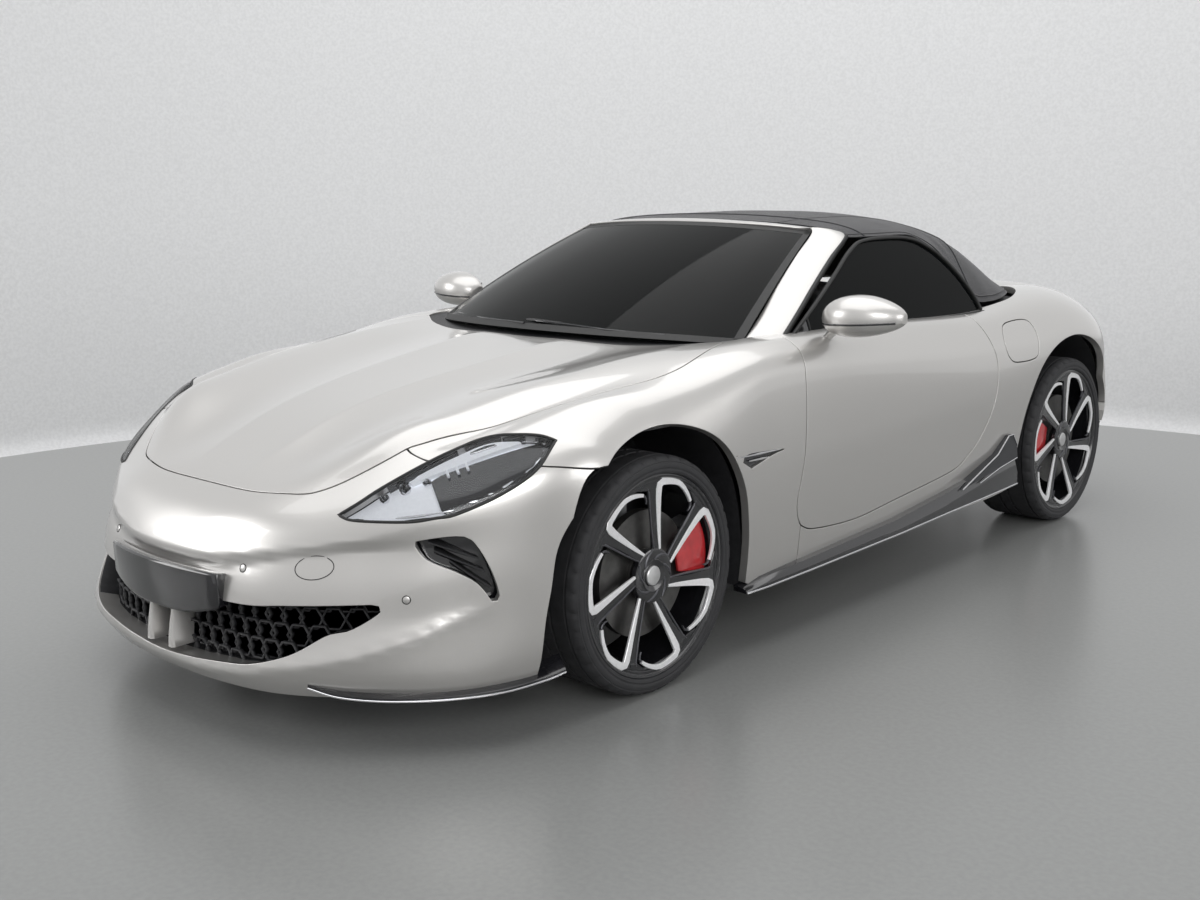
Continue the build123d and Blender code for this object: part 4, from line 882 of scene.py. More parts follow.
def rim_parts(lip, half):
    back = 2 * half - 16
    barrel = [(300, 1), (300, -6), (288, -10), (281, -12), (281, 9 - back), (290, -back), (273, -back),
              (272, 12 - back), (272, -22), (276, -16), (284, -9), (287, -3), (290, 1.5), (296, 3)]
    parts = [turned([(r, lip + a) for r, a in profile], steps=steps, number=number)
             for steps, number, profile in ((112, 0, barrel), *RIM_TURNED)]
    for k in range(SPOKES):
        turn = 2.5 + k * 360 / SPOKES

        def lay(places, widths, tops, depth, number, edge=1.2):
            parts.append(ribbon(places, widths, tops, depth, number, edge))

        radii = [68, 100, 140, 180, 220, 255, 287]
        lay([polar(r, turn, t) for r, t in zip(radii, (14, 10, 4, -2, -9, -16, -20))],
            [34, 28, 27, 30, 36, 44, 58], [face_height(lip, r) - 2.0 for r in radii], 10, 0, 3)
        lay([polar(r, turn, t) for r, t in ((74, 3), (100, -4), (150, -15), (200, -25), (245, -35),
                                            (262, -43))],
            [3.5, 4.5, 5, 5.5, 6, 3.5], [face_height(lip, r) for r in (74, 100, 150, 200, 245, 262)], 6, 1)
        # the machined blade: up the spoke, round the corner and along the lip
        line = [polar(r, turn, t) for r, t in ((76, 26), (110, 21.5), (150, 16.5), (190, 12), (228, 8),
                                               (256, 6.5), (268, 8.5))]
        widths = [8, 12, 15, 18.5, 22, 25, 25]
        for t in np.linspace(0, 1, 10):
            radius = 276.5 + 2.5 * math.sin(math.pi * t) - 25 * max(0, (t - 0.45) / 0.55) ** 1.3
            line.append(polar(radius, turn + 4.4 + 33 * t))
            widths.append(22 - 12 * t)
        lay(line, widths, [face_height(lip, float(np.hypot(*p))) + 0.8 for p in line], 7, 2)
        lay([polar(r, turn + 38 + d) for r, d in ((250, 0), (243, 1.6), (232, 2.2), (222, 1.6))],
            [7, 6, 5, 2.5], [face_height(lip, 245)] * 4, 6, 1)
        lay([polar(285, turn + a) for a in np.linspace(0, 360 / SPOKES, 9)], [14] * 9, [lip - 3.5] * 9, 10, 0,
            2)
        lay([polar(r, turn + d) for r, d in ((277, 33), (272, 38), (268, 43), (270, 48))], [6, 18, 26, 20],
            [lip - 4.5] * 4, 9, 0, 2)
        lay([polar(48 + 30 * t, turn + 46 * t) for t in (0, 0.3, 0.65, 1)], [5, 8, 9, 4], [lip - 8.6] * 4, 6,
            1, 3)
    return parts


def tyre_part(radius, half):
    profile = [(282, half - 16), (297, half - 12), (300, half - 6), (303, half - 2), (309, half - 0.5),
               (311, half - 1.6), (315, half - 1.6), (317, half - 0.3), (324, half), (331, half - 1.8),
               (332, half - 3.2), (335, half - 3.6), (336, half - 3.0), (radius - 9, half - 7),
               (radius - 4, half - 14), (radius - 1.2, half - 23)]
    edge = half - 38
    tread = []
    for groove in (edge, 24, -24, -edge):
        tread += [(radius, groove + 5), (radius - 7, groove + 3.5), (radius - 7, groove - 3.5),
                  (radius, groove - 5)]
    inner = [(276, -half + 12), (300, -half + 16), (radius - 14, -half + 26), (radius - 14, half - 26),
             (300, half - 16), (276, half - 12)]
    whole = profile + tread + [(r, -a) for r, a in reversed(profile)] + inner
    steps = 228
    rings = []
    for k in range(steps):
        angle = 2 * math.pi * k / steps
        ring = []
        for r, a in whole:
            if k % 6 == 0 and r > radius - 10 and abs(a) > edge + 6:
                r -= 5.5
            if k % 6 == 3 and r == radius and abs(a) < edge - 6:
                r -= 3.0
            ring.append((a, r * math.sin(angle), r * math.cos(angle)))
        rings.append(ring)
    return loft(rings, around=True)


def caliper_part(lip, turn):
    rows = []
    for k in range(-8, 9):
        t = k / 8
        low, high = 128 + 8 * t * t, 266.0 - 5 * t * t
        a = math.radians(turn + 16.5 * t * 1.12)
        rows.append([(lip - 26.8 + depth, r * math.sin(a), r * math.cos(a)) for r, depth in (
            (low, -10), (low, -3), (low + 5, 0), (196, 0.9), (204, -0.2), (high - 24, -0.2), (high - 17, 0.9),
            (high - 6, 0), (high, -6), (high, -14))])
    return loft(rows)


def wheels():
    # end, place behind the front axle, middle of the width, radius, half width, the caliper's angle
    for end, s, x, z, half, turn in (("front", 0, 809, 352, 122.5, 80),
                                     ("rear", WHEELBASE, 803, 350, 137.5, -80)):
        lip = half - 8

        def placed(parts):
            return [([(x + a, s + h, z + v) for a, h, v in points], faces, number)
                    for points, faces, number in parts]

        body, own = f"wheel_{end}_{{}}", f"{end}_{{}}"
        pair(f"rim_{own}_made", placed(rim_parts(lip, half)), [RIM_BLACK, RIM_GREY, RIM_SILVER, SATIN], body,
             "rim", "rim_" + own, crisp=32, merge=False)
        pair(f"tyre_{own}_made", placed([tyre_part(z, half)]), [RUBBER], body, "rubber", "tyre_" + own,
             crisp=32, merge=False)
        pair("caliper_" + own, placed([caliper_part(lip, turn)]), [CALIPER_RED],
             "knuckle_front_{}" if end == "front" else SHELL, "aluminium", crisp=40)

wheels()


# ---------------------------------------------------------------- screen, roof and side glass
def run_along(line):
    return np.concatenate([[0], np.cumsum(np.linalg.norm(np.diff(line, axis=0), axis=1))])


def read_line(line, run, at):
    return np.column_stack([np.interp(at, run, line[:, k]) for k in range(3)])


def curve_between(points, count):
    """Evenly spread places on a smooth line through points."""
    line = smooth_line(points, 12)
    run = run_along(line)
    return read_line(line, run, np.linspace(0, run[-1], count))


def mirrored_line(half):
    """Half of a line from the left to the middle, completed to the right."""
    return list(half) + [(-x, s, z) for x, s, z in reversed(half[:-1])]


def facing_of(grid):
    """The normals of a grid of places, turned upwards."""
    facing = np.cross(np.gradient(grid, axis=0), np.gradient(grid, axis=1))
    facing /= np.maximum(np.linalg.norm(facing, axis=2), 1e-9)[..., None]
    if facing[len(grid) // 2, grid.shape[1] // 2, 2] < 0:
        facing = -facing
    return facing


def pane(outer, inner, number=0):
    """A closed sheet between an outer and an inner grid."""
    rows, columns = outer.shape[:2]
    points = [tuple(p) for p in outer.reshape(-1, 3)] + [tuple(p) for p in inner.reshape(-1, 3)]
    base = rows * columns
    faces = []
    for i in range(rows - 1):
        for j in range(columns - 1):
            a = i * columns + j
            faces.append((a, a + 1, a + columns + 1, a + columns))
            faces.append((base + a, base + a + columns, base + a + columns + 1, base + a + 1))
    sides = [pair_of for i in range(rows - 1)
             for pair_of in ((i * columns, (i + 1) * columns),
                             ((i + 2) * columns - 1, (i + 1) * columns - 1))]
    last = (rows - 1) * columns
    sides += [pair_of for j in range(columns - 1) for pair_of in ((j + 1, j), (last + j, last + j + 1))]
    faces += [(a, b, base + b, base + a) for a, b in sides]
    return points, faces, number


SCREEN_BASE = [(728, 652, 942), (560, 545, 954), (300, 452, 962), (0, 420, 965)]
SCREEN_HEAD = [(553, 1310, 1277), (420, 1276, 1290), (220, 1250, 1302), (0, 1241, 1306)]
# The frame of the screen, from its left foot to the middle of its head
FRAME_IN = [(733, 640, 938), (690, 800, 1016), (648, 965, 1112), (604, 1135, 1200), (556, 1306, 1279),
            (500, 1289, 1290), (300, 1256, 1303), (0, 1240, 1309)]
FRAME_OUT = [(806, 735, 934), (768, 900, 1022), (724, 1070, 1112), (682, 1235, 1194), (640, 1392, 1262),
             (560, 1372, 1277), (330, 1322, 1301), (0, 1300, 1312)]


def screen():
    base, head = (curve_between(mirrored_line(half), 49) for half in (SCREEN_BASE, SCREEN_HEAD))
    level = np.linspace(0, 1, 25)[:, None, None]
    outer = base * (1 - level) + head * level
    facing = facing_of(outer)
    outer += facing * 64 * level * (1 - level)
    piece("windscreen_glass", [pane(outer, outer - facing * 5)], [GLASS], SHELL, "glass", "windscreen",
          crisp=40)
    border = []
    for block in (np.s_[:2, :], np.s_[-2:, :], np.s_[:, :2], np.s_[:, -2:]):
        border.append(pane(outer[block] + facing[block] * 0.6, outer[block] + facing[block] * 0.06))
    piece("windscreen_border", border, [SEAL], SHELL, "trim", crisp=40, merge=False)
    rings = []
    for p, q in zip(smooth_line(mirrored_line(FRAME_IN), 8), smooth_line(mirrored_line(FRAME_OUT), 8)):
        across = q - p
        rise = np.array([0.25 * np.sign(p[0]) if abs(p[0]) > 500 else 0, -0.45, 0.85])
        rise = rise / np.linalg.norm(rise)
        rings.append([tuple(p + across * a + rise * b) for a, b in (
            (0, -16), (0, -2), (0.05, 1.5), (0.3, 6.5), (0.6, 7.5), (0.9, 3.5), (0.98, 0.5), (1, -4),
            (1, -22))])
    piece("windscreen_surround", [loft(rings)], [PAINT], SHELL, "paint", "windscreen_frame", crisp=35)
    seal = smooth_line([(x + 2, s + 7, z - 5) for x, s, z in FRAME_OUT[:5]], 6)
    pair("screen_side_seal_{}", [swept(seal, box_section(12, 16, 3))], [SEAL], SHELL, "matte_trim", crisp=35)


# Roof rows: s at the middle, s at the side, z at the middle, x and z of the shoulder, x and z of the foot
ROOF = [(1296, 1388, 1316, 585, 1279, 648, 1256), (1440, 1480, 1326, 606, 1279, 664, 1253),
        (1600, 1615, 1331, 616, 1276, 670, 1252), (1780, 1785, 1331, 622, 1266, 674, 1246),
        (1940, 1935, 1327, 632, 1243, 692, 1190), (2060, 2045, 1318, 640, 1215, 722, 1096),
        (2150, 2140, 1304, 645, 1184, 764, 982), (2290, 2280, 1268, 640, 1140, 772, 966),
        (2440, 2420, 1216, 622, 1090, 752, 972), (2590, 2560, 1148, 585, 1042, 700, 980),
        (2720, 2680, 1072, 520, 1010, 610, 975), (2820, 2780, 996, 430, 975, 500, 960)]


def roof_surface(rows_each=7, columns=34):
    control = []
    for s0, s1, zm, xe, ze, xf, zf in ROOF:
        drop = zm - ze
        line = [(0, s0, zm), (0.3 * xe, s0 + 0.08 * (s1 - s0), zm - 0.055 * drop),
                (0.62 * xe, s0 + 0.36 * (s1 - s0), zm - 0.27 * drop),
                (0.86 * xe, s0 + 0.7 * (s1 - s0), zm - 0.6 * drop), (xe, s0 + 0.9 * (s1 - s0), ze),
                (0.55 * xf + 0.45 * xe, s1, 0.5 * zf + 0.5 * ze), (xf, s1, zf)]
        control.append(curve_between([(-x, s, z) for x, s, z in reversed(line[1:])] + line, 2 * columns + 1))
    lines = np.array(control).transpose(1, 0, 2)
    return np.array([smooth_line(line, rows_each) for line in lines]).transpose(1, 0, 2)


def roof():
    grid = roof_surface()
    facing = facing_of(grid)
    rows, columns = grid.shape[:2]
    middle = columns // 2
    s_mid = grid[:, middle, 1]
    # the cloth stands a little proud over each bow
    for bow in (1440, 1780, 2150, 2440):
        grid += facing * (1.6 * np.exp(-((s_mid - bow) / 45) ** 2))[:, None, None]
    made = piece("fabric_roof", [pane(grid, grid - facing * 3.2)], [CLOTH], SHELL, "fabric", "soft_top",
                 crisp=60)
    # seams: one along each side, one over two of the bows, and one by each edge
    proud = grid + facing * 0.8
    shoulder, thread = int(middle * 0.42), round_section(3.2, 6, 0.45)
    seams = [swept(proud[:, column], thread) for column in (shoulder, columns - 1 - shoulder)]
    seams += [swept(proud[int(np.argmin(np.abs(s_mid - s)))], thread, up=(0, -1, 0.2))
              for s in (1440, 2150)]
    seams += [swept((grid + facing * 0.6)[:, column], round_section(4.5, 6, 0.5))
              for column in (1, columns - 2)]
    piece("roof_seams", seams, [CLOTH], SHELL, "fabric", crisp=60, merge=False)
    inside = facing[2:-3, 2:-2]
    lining = grid[2:-3, 2:-2] - inside * 16
    made = piece("roof_lining", [pane(lining, lining - inside * 4)], [LINING], SHELL, "fabric", crisp=60)
    # the rear window, set into the cloth
    keep = [i for i in range(rows) if 2255 < s_mid[i] < 2560]
    block = np.ix_(keep, [j for j in range(columns) if abs(grid[keep[0], j, 0]) < 370])
    glass = grid[block] + facing[block] * 3
    piece("rear_window_glass", [pane(glass, glass - facing[block] * 2.4)], [REAR_GLASS], SHELL, "glass",
          "rear_window", crisp=40)
    loop = [*glass[0], *glass[1:, -1], *glass[-1, -2::-1], *glass[-2:0:-1, 0]]
    piece("rear_window_seal", [swept(loop, round_section(9, 8, 0.45), closed=True)], [SEAL], SHELL,
          "matte_trim", crisp=50)


SIDE_GLASS = [(790, 936), (790, 936), (985, 1036), (1170, 1128), (1340, 1208), (1470, 1238), (1740, 1234),
              (1880, 1192), (1990, 1110), (2080, 1006), (2118, 940), (2118, 940)]


def glass_x(z):
    return 809.0 - (z - 933.0) * 0.445 + 14 * math.sin(math.pi * min(1, max(0, (z - 930) / 320)))


def on_glass(places, out):
    return [(glass_x(z) + out, s, z) for s, z in places]


def side_glass():
    outline = smooth_line(SIDE_GLASS, 10)
    grid = np.array([on_glass([(s, 936 + (z - 936) * share) for s, z in outline], 0)
                     for share in (k / 12 for k in range(13))])
    pair("side_glass_{}", [pane(grid, grid - np.array([5.0, 0, 0]))], [GLASS], "door_{}", "glass",
         "door_glass_{}", crisp=50)
    top = [(glass_x(z) + 4, s, z + 4) for s, z in outline[2:]]
    pair("side_glass_seal_{}", [swept(top, box_section(12, 13, 3), up=(1, 0, 0.3))], [SEAL], SHELL,
         "matte_trim", crisp=40)
    # the black piece at the front corner, with its thin divider, and the seal along the sill
    corner = [(788, 938), (940, 938), (935, 1006), (860, 975)]
    sill = [(glass_x(936) + 9, s, 938 - 0.000004 * (s - 1400) ** 2) for s in range(770, 2131, 40)]
    pair("door_top_trim_{}",
         [loft([on_glass(corner, -9), on_glass(corner, 3.5)]),
          swept(on_glass([(942, 938), (936, 1012)], 5), box_section(7, 7, 2), up=(1, 0, 0), number=1),
          swept(sill, box_section(13, 12, 4), up=(1, 0, 0), number=1)],
         [GLOSS_BLACK, SEAL], "door_{}", "trim", crisp=40, merge=False)


def squared(angle, power):
    """Cosine and sine of an angle, pulled towards the corners of a square."""
    return [math.copysign(abs(v) ** power, v) for v in (math.cos(angle), math.sin(angle))]


def mirror_ring(t, count=36):
    """One section of the mirror's housing, square to the car's width."""
    e = math.sin(math.pi * (0.02 + 0.96 * t)) ** 0.45
    deep, high = 112 * e * (1 - 0.14 * t), 88 * e * (1 - 0.24 * t)
    ring = []
    for j in range(count):
        c, d = squared(2 * math.pi * j / count, 0.8)
        ring.append((848 + 276 * t, 972 + 30 * t * t + deep * c * (0.42 if c > 0 else 1.0),
                     1012 + 8 * t + high * d * (1.0 if d > 0 else 0.78)))
    return ring


def mirrors():
    shares = [k / 26 for k in range(27)]
    rings = [mirror_ring(t) for t in shares]
    band, face = [], []
    for t, ring in list(zip(shares, rings))[1:-1]:
        level = 996 + 14 * t
        front = min((p for p in ring if p[1] < 972 + 30 * t * t), key=lambda p: abs(p[2] - level))
        band.append((front[0], front[1] - 0.4, level))
    for ring in rings[2:-2]:
        x, s = ring[0][0], max(p[1] for p in ring) + 0.6
        low, high = min(p[2] for p in ring), max(p[2] for p in ring)
        low, high = low * 0.82 + high * 0.18, high * 0.86 + low * 0.14
        face.append([(x, s, low), (x, s, high), (x, s - 14, high), (x, s - 14, low)])
    line = smooth_line([(848, 962, 936), (862, 962, 952), (886, 964, 974), (924, 968, 992)], 6)
    scales = np.interp(np.linspace(0, 1, len(line)), (0, 0.35, 1), (1.3, 0.95, 1.5))
    foot = smooth_line([(818, 900, 941), (826, 960, 941), (828, 1015, 941)], 4)
    pair("door_mirror_{}",
         [loft(rings), swept(smooth_line(band, 2), box_section(5, 7, 2), number=1), loft(face, number=2),
          swept(line, round_section(28, 16, 12 / 28), scales=scales),
          swept(foot, box_section(28, 12, 4), number=1)],
         [PAINT, GLOSS_BLACK, CHROME], "door_{}", "paint", "mirror_{}", crisp=35, merge=False)

screen()
roof()
side_glass()
mirrors()


# ---------------------------------------------------------------- repeated pieces
def repeat(name, places, turns, size, wire, material, body, shape="hexagon"):
    """The same small shape on every place: a six-sided cell or a stitch."""
    mesh = mesh_of(name + "_places", to_frame(places), [], [])
    turn = mesh.attributes.new("turn", "FLOAT_VECTOR", "POINT")
    turn.data.foreach_set("vector", np.asarray(turns, float).ravel())
    made = object_of(name, mesh)
    group = bpy.data.node_groups.new(name + "_rule", "GeometryNodeTree")
    face = group.interface
    face.new_socket("Geometry", in_out="INPUT", socket_type="NodeSocketGeometry")
    sizes = [face.new_socket(word, in_out="INPUT", socket_type="NodeSocketFloat").identifier
             for word in ("Size", "Wire")]
    face.new_socket("Geometry", in_out="OUTPUT", socket_type="NodeSocketGeometry")

    def step(kind, feeds, **constants):
        made_node = group.nodes.new(kind)
        for socket, output in feeds.items():
            group.links.new(output, made_node.inputs[socket])
        for socket, value in constants.items():
            made_node.inputs[socket].default_value = value
        return made_node

    enter, leave = group.nodes.new("NodeGroupInput").outputs, group.nodes.new("NodeGroupOutput")
    if shape == "hexagon":
        ring = step("GeometryNodeMeshCircle", {"Radius": enter["Size"]}, Vertices=6)
        line = step("GeometryNodeMeshToCurve", {0: ring.outputs[0]})
        section = step("GeometryNodeCurvePrimitiveQuadrilateral", {"Width": enter["Wire"]}, Height=0.012)
        item = step("GeometryNodeCurveToMesh", {"Curve": line.outputs[0],
                                                "Profile Curve": section.outputs[0]})
    else:
        item = step("GeometryNodeMeshCylinder", {"Radius": enter["Wire"], "Depth": enter["Size"]}, Vertices=6)
    way = step("GeometryNodeInputNamedAttribute", {}, Name="turn")
    way.data_type = "FLOAT_VECTOR"
    angle = step("FunctionNodeEulerToRotation", {0: way.outputs[0]})
    place = step("GeometryNodeInstanceOnPoints", {"Points": enter["Geometry"], "Instance": item.outputs[0],
                                                  "Rotation": angle.outputs[0]})
    real = step("GeometryNodeRealizeInstances", {0: place.outputs[0]})
    paint = step("GeometryNodeSetMaterial", {0: real.outputs[0]}, Material=material)
    group.links.new(paint.outputs[0], leave.inputs[0])
    rule = made.modifiers.new("rule", "NODES")
    rule.node_group = group
    for identifier, value in zip(sizes, (size, wire)):
        rule[identifier] = float(value)
    made = settle(made, name, 0)
    if not made.data.materials:
        made.data.materials.append(material)
    fit_out(made, body, "matte_trim" if shape == "hexagon" else "leather")


def along(path, spacing):
    """Places every so many millimetres along a line, and the way the line runs there."""
    path = np.asarray(path, float)
    run = run_along(path)
    at = np.arange(spacing / 2, run[-1], spacing)
    places, ahead = read_line(path, run, at), read_line(path, run, at + 1)
    turns = [tuple(Vector(way).to_track_quat("Z", "Y").to_euler()) if way.any() else (0, 0, 0)
             for way in ahead - places]
    return places, turns


def on_skin(view, outline, lift=0.0, steps=6):
    """A closed outline, curved through its points and laid on the skin."""
    return np.array([p + n * lift for p, n in (spot(view, a, b)
                                               for a, b in smooth_line(outline, steps, True))])


# ---------------------------------------------------------------- nose, lamps and grille
GRILLE_CELL = 31.0


def grille():
    skin_panel("grille_back", SHELL, "matte_trim", [GRILLE_F + 26], BLACK, centre=True, offset=-92, gap=0,
               depth=4, replaced=("grille",))
    places, turns = [], []
    outline = smooth_line(both_halves(GRILLE_HALF), 6, closed=True)
    for row in range(-1, 10):
        for column in range(-34, 35):
            x = (column + 0.5 * (row % 2)) * GRILLE_CELL * 1.75
            z = 214 + row * GRILLE_CELL * 1.5
            if inside_by(np.array([(x, z)]), outline)[0][0] < -16:
                continue
            p, n = spot("front", x, z)
            flat = Vector((n[0], n[1], 0)).normalized()
            places.append(p - np.array(flat) * 66)
            turns.append(tuple(flat.to_track_quat("Z", "Y").to_euler()))
    repeat("grille_cells", places, turns, 0.0325, 0.0055, BLACK, SHELL)
    # the duct behind the opening; its low lip is painted
    wall = on_skin("front", both_halves(GRILLE_HALF))
    normals = [spot("front", p[0], p[2])[1] for p in wall]
    points, faces, _ = loft([[tuple(p - n * depth) for p, n in zip(wall, normals)]
                             for depth in (6, 18, 60, 96)],
                            caps=False)
    count = len(wall)
    low = [wall[k % count][2] < 262 and k // count < 2 for k in range(len(faces))]
    piece("grille_duct", [(points, [f for f, is_low in zip(faces, low) if is_low], 0),
                          (points, [f for f, is_low in zip(faces, low) if not is_low], 1)], [PAINT, BLACK],
          SHELL, "matte_trim", crisp=50)
    fins = []
    for x in (-55, 55):
        rows = []
        for z, half in zip((392, 340, 290, 250, 222), (5, 6, 8, 11, 15)):
            s = spot("front", x, min(max(z, 212), 384))[0][1] + 12
            rows.append([(x - half, s - 8, z), (x - half * 0.5, s - 16, z), (x + half * 0.5, s - 16, z),
                         (x + half, s - 8, z), (x + half * 0.8, s + 55, z), (x - half * 0.8, s + 55, z)])
        fins.append(loft(rows))
    piece("grille_fins", fins, [PAINT], SHELL, "paint", crisp=35, merge=False)


def plate_carriers():
    """Blank carriers for the two number plates."""
    rows = []
    for t in (-1 + 2 * k / 14 for k in range(15)):
        x, s = 268 * t, -1058 + 34 * t * t
        top, low = 468 - 3 * t * t, 336 + 34 * abs(t) ** 3
        rows.append([(x, s, low), (x, s - 3, low + 8), (x, s - 5, top - 6), (x, s - 1, top),
                     (x, s + 26, top - 4), (x, s + 30, low + 4)])
    piece("front_plate_carrier", [loft(rows)], [GLOSS_BLACK], SHELL, "trim", "plate_carriers", crisp=30,
          bevel=1.5)
    rear = []
    for x in range(-264, 265, 44):
        low, top = (spot("rear", x, z)[0][1] for z in (505, 622))
        rear.append([(x, low - 8, 500), (x, low + 4, 503), (x, top + 4, 625), (x, top - 8, 629)])
    piece("rear_plate_carrier", [loft(rear)], [BLACK], SHELL, "trim", crisp=30, bevel=1.5)


def headlamps():
    flat = project("slant", POINTS)
    centre = project("slant", [LAMP[0], LAMP[10]])
    way = centre[1] - centre[0]
    length = np.hypot(*way)
    way = way / length
    across = np.array([-way[1], way[0]])
    share = (flat - centre[0]) @ way / length
    above = (flat - centre[0]) @ across
    if above[np.argmax(Z_OF * (LAMP_F > 0))] < 0:
        above = -above
    held = np.clip(share, 0, 1)
    # name, slot, field, material, offset, depth, edge radius, gap
    layers = (
        ("bucket", "trim", LAMP_F + 4, LAMP_WHITE, -34, 6, 1.6, 0),
        ("lens", "lamp", LAMP_F - 4, LENS, -0.6, 2.5, 1.5, 0.5),
        ("white", "lamp", np.minimum.reduce([LAMP_F - 12, above - (10 + 26 * held), (share - 0.30) * length]),
         LAMP_WHITE, -15, 12, 3, 0),
        ("reflector", "lamp", np.minimum.reduce([LAMP_F - 26, above - (26 + 26 * held),
                                                 (share - 0.44) * length]),
         CHROME, -11, 3, 2, 0),
        ("strip", "lamp", np.minimum.reduce([LAMP_F - 13, 19.5 - LAMP_F, (10 + 30 * share) - above]), CHROME,
         -12, 4, 0.8, 0),
        ("dark", "trim", np.minimum.reduce([LAMP_F - 5, (12 + 10 * share) - above, (share - 0.42) * length]),
         GLOSS_BLACK, -20, 10, 2, 0),
        ("rim", "trim", np.minimum(LAMP_F - 1, 8.5 - LAMP_F), GLOSS_BLACK, -7, 24, 0.8, 0))
    for side, sign in SIDES:
        for word, slot, shape, material, offset, depth, radius, gap in layers:
            skin_panel(f"headlamp_{word}_{side}", SHELL, slot, [shape], material, side=sign, offset=offset,
                       depth=depth, radius=radius, gap=gap,
                       replaced=("headlamps",) if word == "bucket" else ())
    seal = on_skin("slant", project("slant", LAMP), -1.5, steps=5)
    pair("headlamp_seal_{}", [swept(seal, round_section(4.2, 8), closed=True)], [SEAL], SHELL, "matte_trim",
         crisp=60)
    # the lens units low in the lamp, and the three light bars over them
    parts = []
    if (project("slant", [LAMP[15]])[0] - centre[0]) @ across < 0:
        across = -across
    for at, rise, size in ((0.30, 20, 17), (0.20, 13, 13), (0.40, 16, 11)):
        p, n = spot("slant", *(centre[0] + way * length * at + across * rise))
        ahead = Vector((0.35 * n[0], -1.0, 0.15)).normalized()
        base = p - n * 26
        parts.append(turned([(0.1, -8), (size, -8), (size, 2), (size - 2, 5), (size - 4, 2), (size - 5, -2),
                             (0.1, -2)], base, ahead, 28))
        parts.append(turned([(0.1, -3), (size - 5, -3), (size - 6, 1), (size * 0.4, 4.5), (0.1, 5.5)], base,
                            ahead, 28, 1))
    for at in (0.50, 0.545, 0.59):
        bar = [tuple(p - n * 13) for p, n in (spot("slant", *(centre[0] + way * length * at + across * rise))
                                             for rise in (-2, 8, 20))]
        parts.append(swept(bar, box_section(7, 10, 2), up=(0.3, -0.6, 0.6), number=2))
    pair("headlamp_units_{}", parts, [CHROME, LENS, LAMP_WHITE], SHELL, "lamp", crisp=35, merge=False)


def vents():
    for side, sign in SIDES:
        skin_panel("side_vent_back_" + side, SHELL, "matte_trim", [VENT_F + 8], GLOSS_BLACK, side=sign,
                   offset=-44, gap=0, depth=4, replaced=("side_vents",))
        skin_panel("wing_vent_back_" + side, SHELL, "trim", [WING_VENT_F + 2], GLOSS_BLACK, side=sign,
                   offset=-9, gap=0, depth=2)
    fins = []
    for base, tip in (((748, 566), (838, 520)), ((760, 545), (850, 486)), ((790, 520), (862, 440)),
                      ((726, 574), (800, 578))):
        rows = []
        for (x, z), high in ((base, 12), (((base[0] + tip[0]) / 2, (base[1] + tip[1]) / 2 + 2), 9), (tip, 3)):
            p, n = spot("front", x, z)
            rows.append([tuple(p - n * back + np.array([0, 0, rise]))
                         for back, rise in ((40, -high), (9, -2), (9, 2), (40, high))])
        fins.append(loft(rows))
    pair("side_vent_fins_{}", fins, [BLACK], SHELL, "matte_trim", crisp=25, merge=False)
    blades = []
    shares = np.linspace(0, 1, 9)
    for number, (z, sunk, s0, s1) in enumerate(((646, 1, 350, 590), (628, 4, 420, 560))):
        line = []
        for t in shares:
            s = s0 + (s1 - s0) * t
            p, n = spot("side", s, z - 0.045 * (s - 343))
            line.append(tuple(p - n * sunk))
        blades.append(swept(line, box_section(3.5, 5.5, 1),
                            scales=np.interp(shares, (0, 0.5, 1), (0.7, 1.2, 0.4)), number=number))
    pair("wing_vent_blades_{}", blades, [CHROME, SATIN], SHELL, "trim", crisp=35, merge=False)


def splitter():
    edge = smooth_line([(536, -944, 196), (604, -893, 172), (700, -806, 160), (800, -690, 157),
                        (876, -570, 161), (918, -455, 172), (930, -388, 180)], 6)
    rows, pins = [], []
    for p, t in zip(edge, np.linspace(0, 1, len(edge))):
        grown = min(1, t * 3)
        inward = np.array((-0.62, 0.78, 0) if t < 0.5 else (-0.9, 0.43, 0))
        rows.append([tuple(p + inward * back + [0, 0, rise]) for back, rise in (
            (0, -4), (0, 2), (6, 6), (8 + 44 * grown, 16 + 14 * grown), (8 + 44 * grown, -6), (6, -8))])
        pins.append(tuple(p + inward * -1.5 + [0, 0, -5.5]))
    pair("front_splitter_{}", [loft(rows), swept(pins, box_section(4, 5, 1), number=1)],
         [GLOSS_BLACK, CHROME], SHELL, "trim", "front_splitter", crisp=35, merge=False)


def skirts():
    rows, pins = [], []
    for s, low, high, x in ((428, 198, 214, 928), (520, 200, 230, 938), (760, 205, 240, 944),
                            (1320, 214, 264, 946), (1650, 225, 296, 948), (1900, 232, 326, 950),
                            (2100, 238, 345, 951), (2215, 242, 350, 950)):
        rows.append([(x - 52, s, low + 2), (x - 4, s, low), (x + 1, s, low + 4),
                     (x + 1, s, low + 0.45 * (high - low)), (x - 16, s, high), (x - 52, s, high + 4)])
        pins.append((x + 2.0, s, low + 2.5))
    fin = [(1760, 296), (2040, 388), (2128, 452), (2166, 452), (2206, 402), (2216, 346), (2050, 330)]
    edges = ((949.5, 5, ((1765, 297), (2040, 389), (2128, 452), (2166, 452), (2206, 402))),
             (950.5, 4, ((1900, 300), (2060, 334), (2206, 352))))
    pair("side_skirt_{}",
         [loft(rows), swept(pins, box_section(4, 6, 1), number=1),
          loft([[(x, s, z) for s, z in fin] for x in (912, 948)], number=2),
          *[swept([(x, s, z) for s, z in line], box_section(wide, 4, 1), number=1)
            for x, wide, line in edges]],
         [GLOSS_BLACK, CHROME, DARK_METAL], SHELL, "trim", "side_skirts", crisp=30, merge=False)


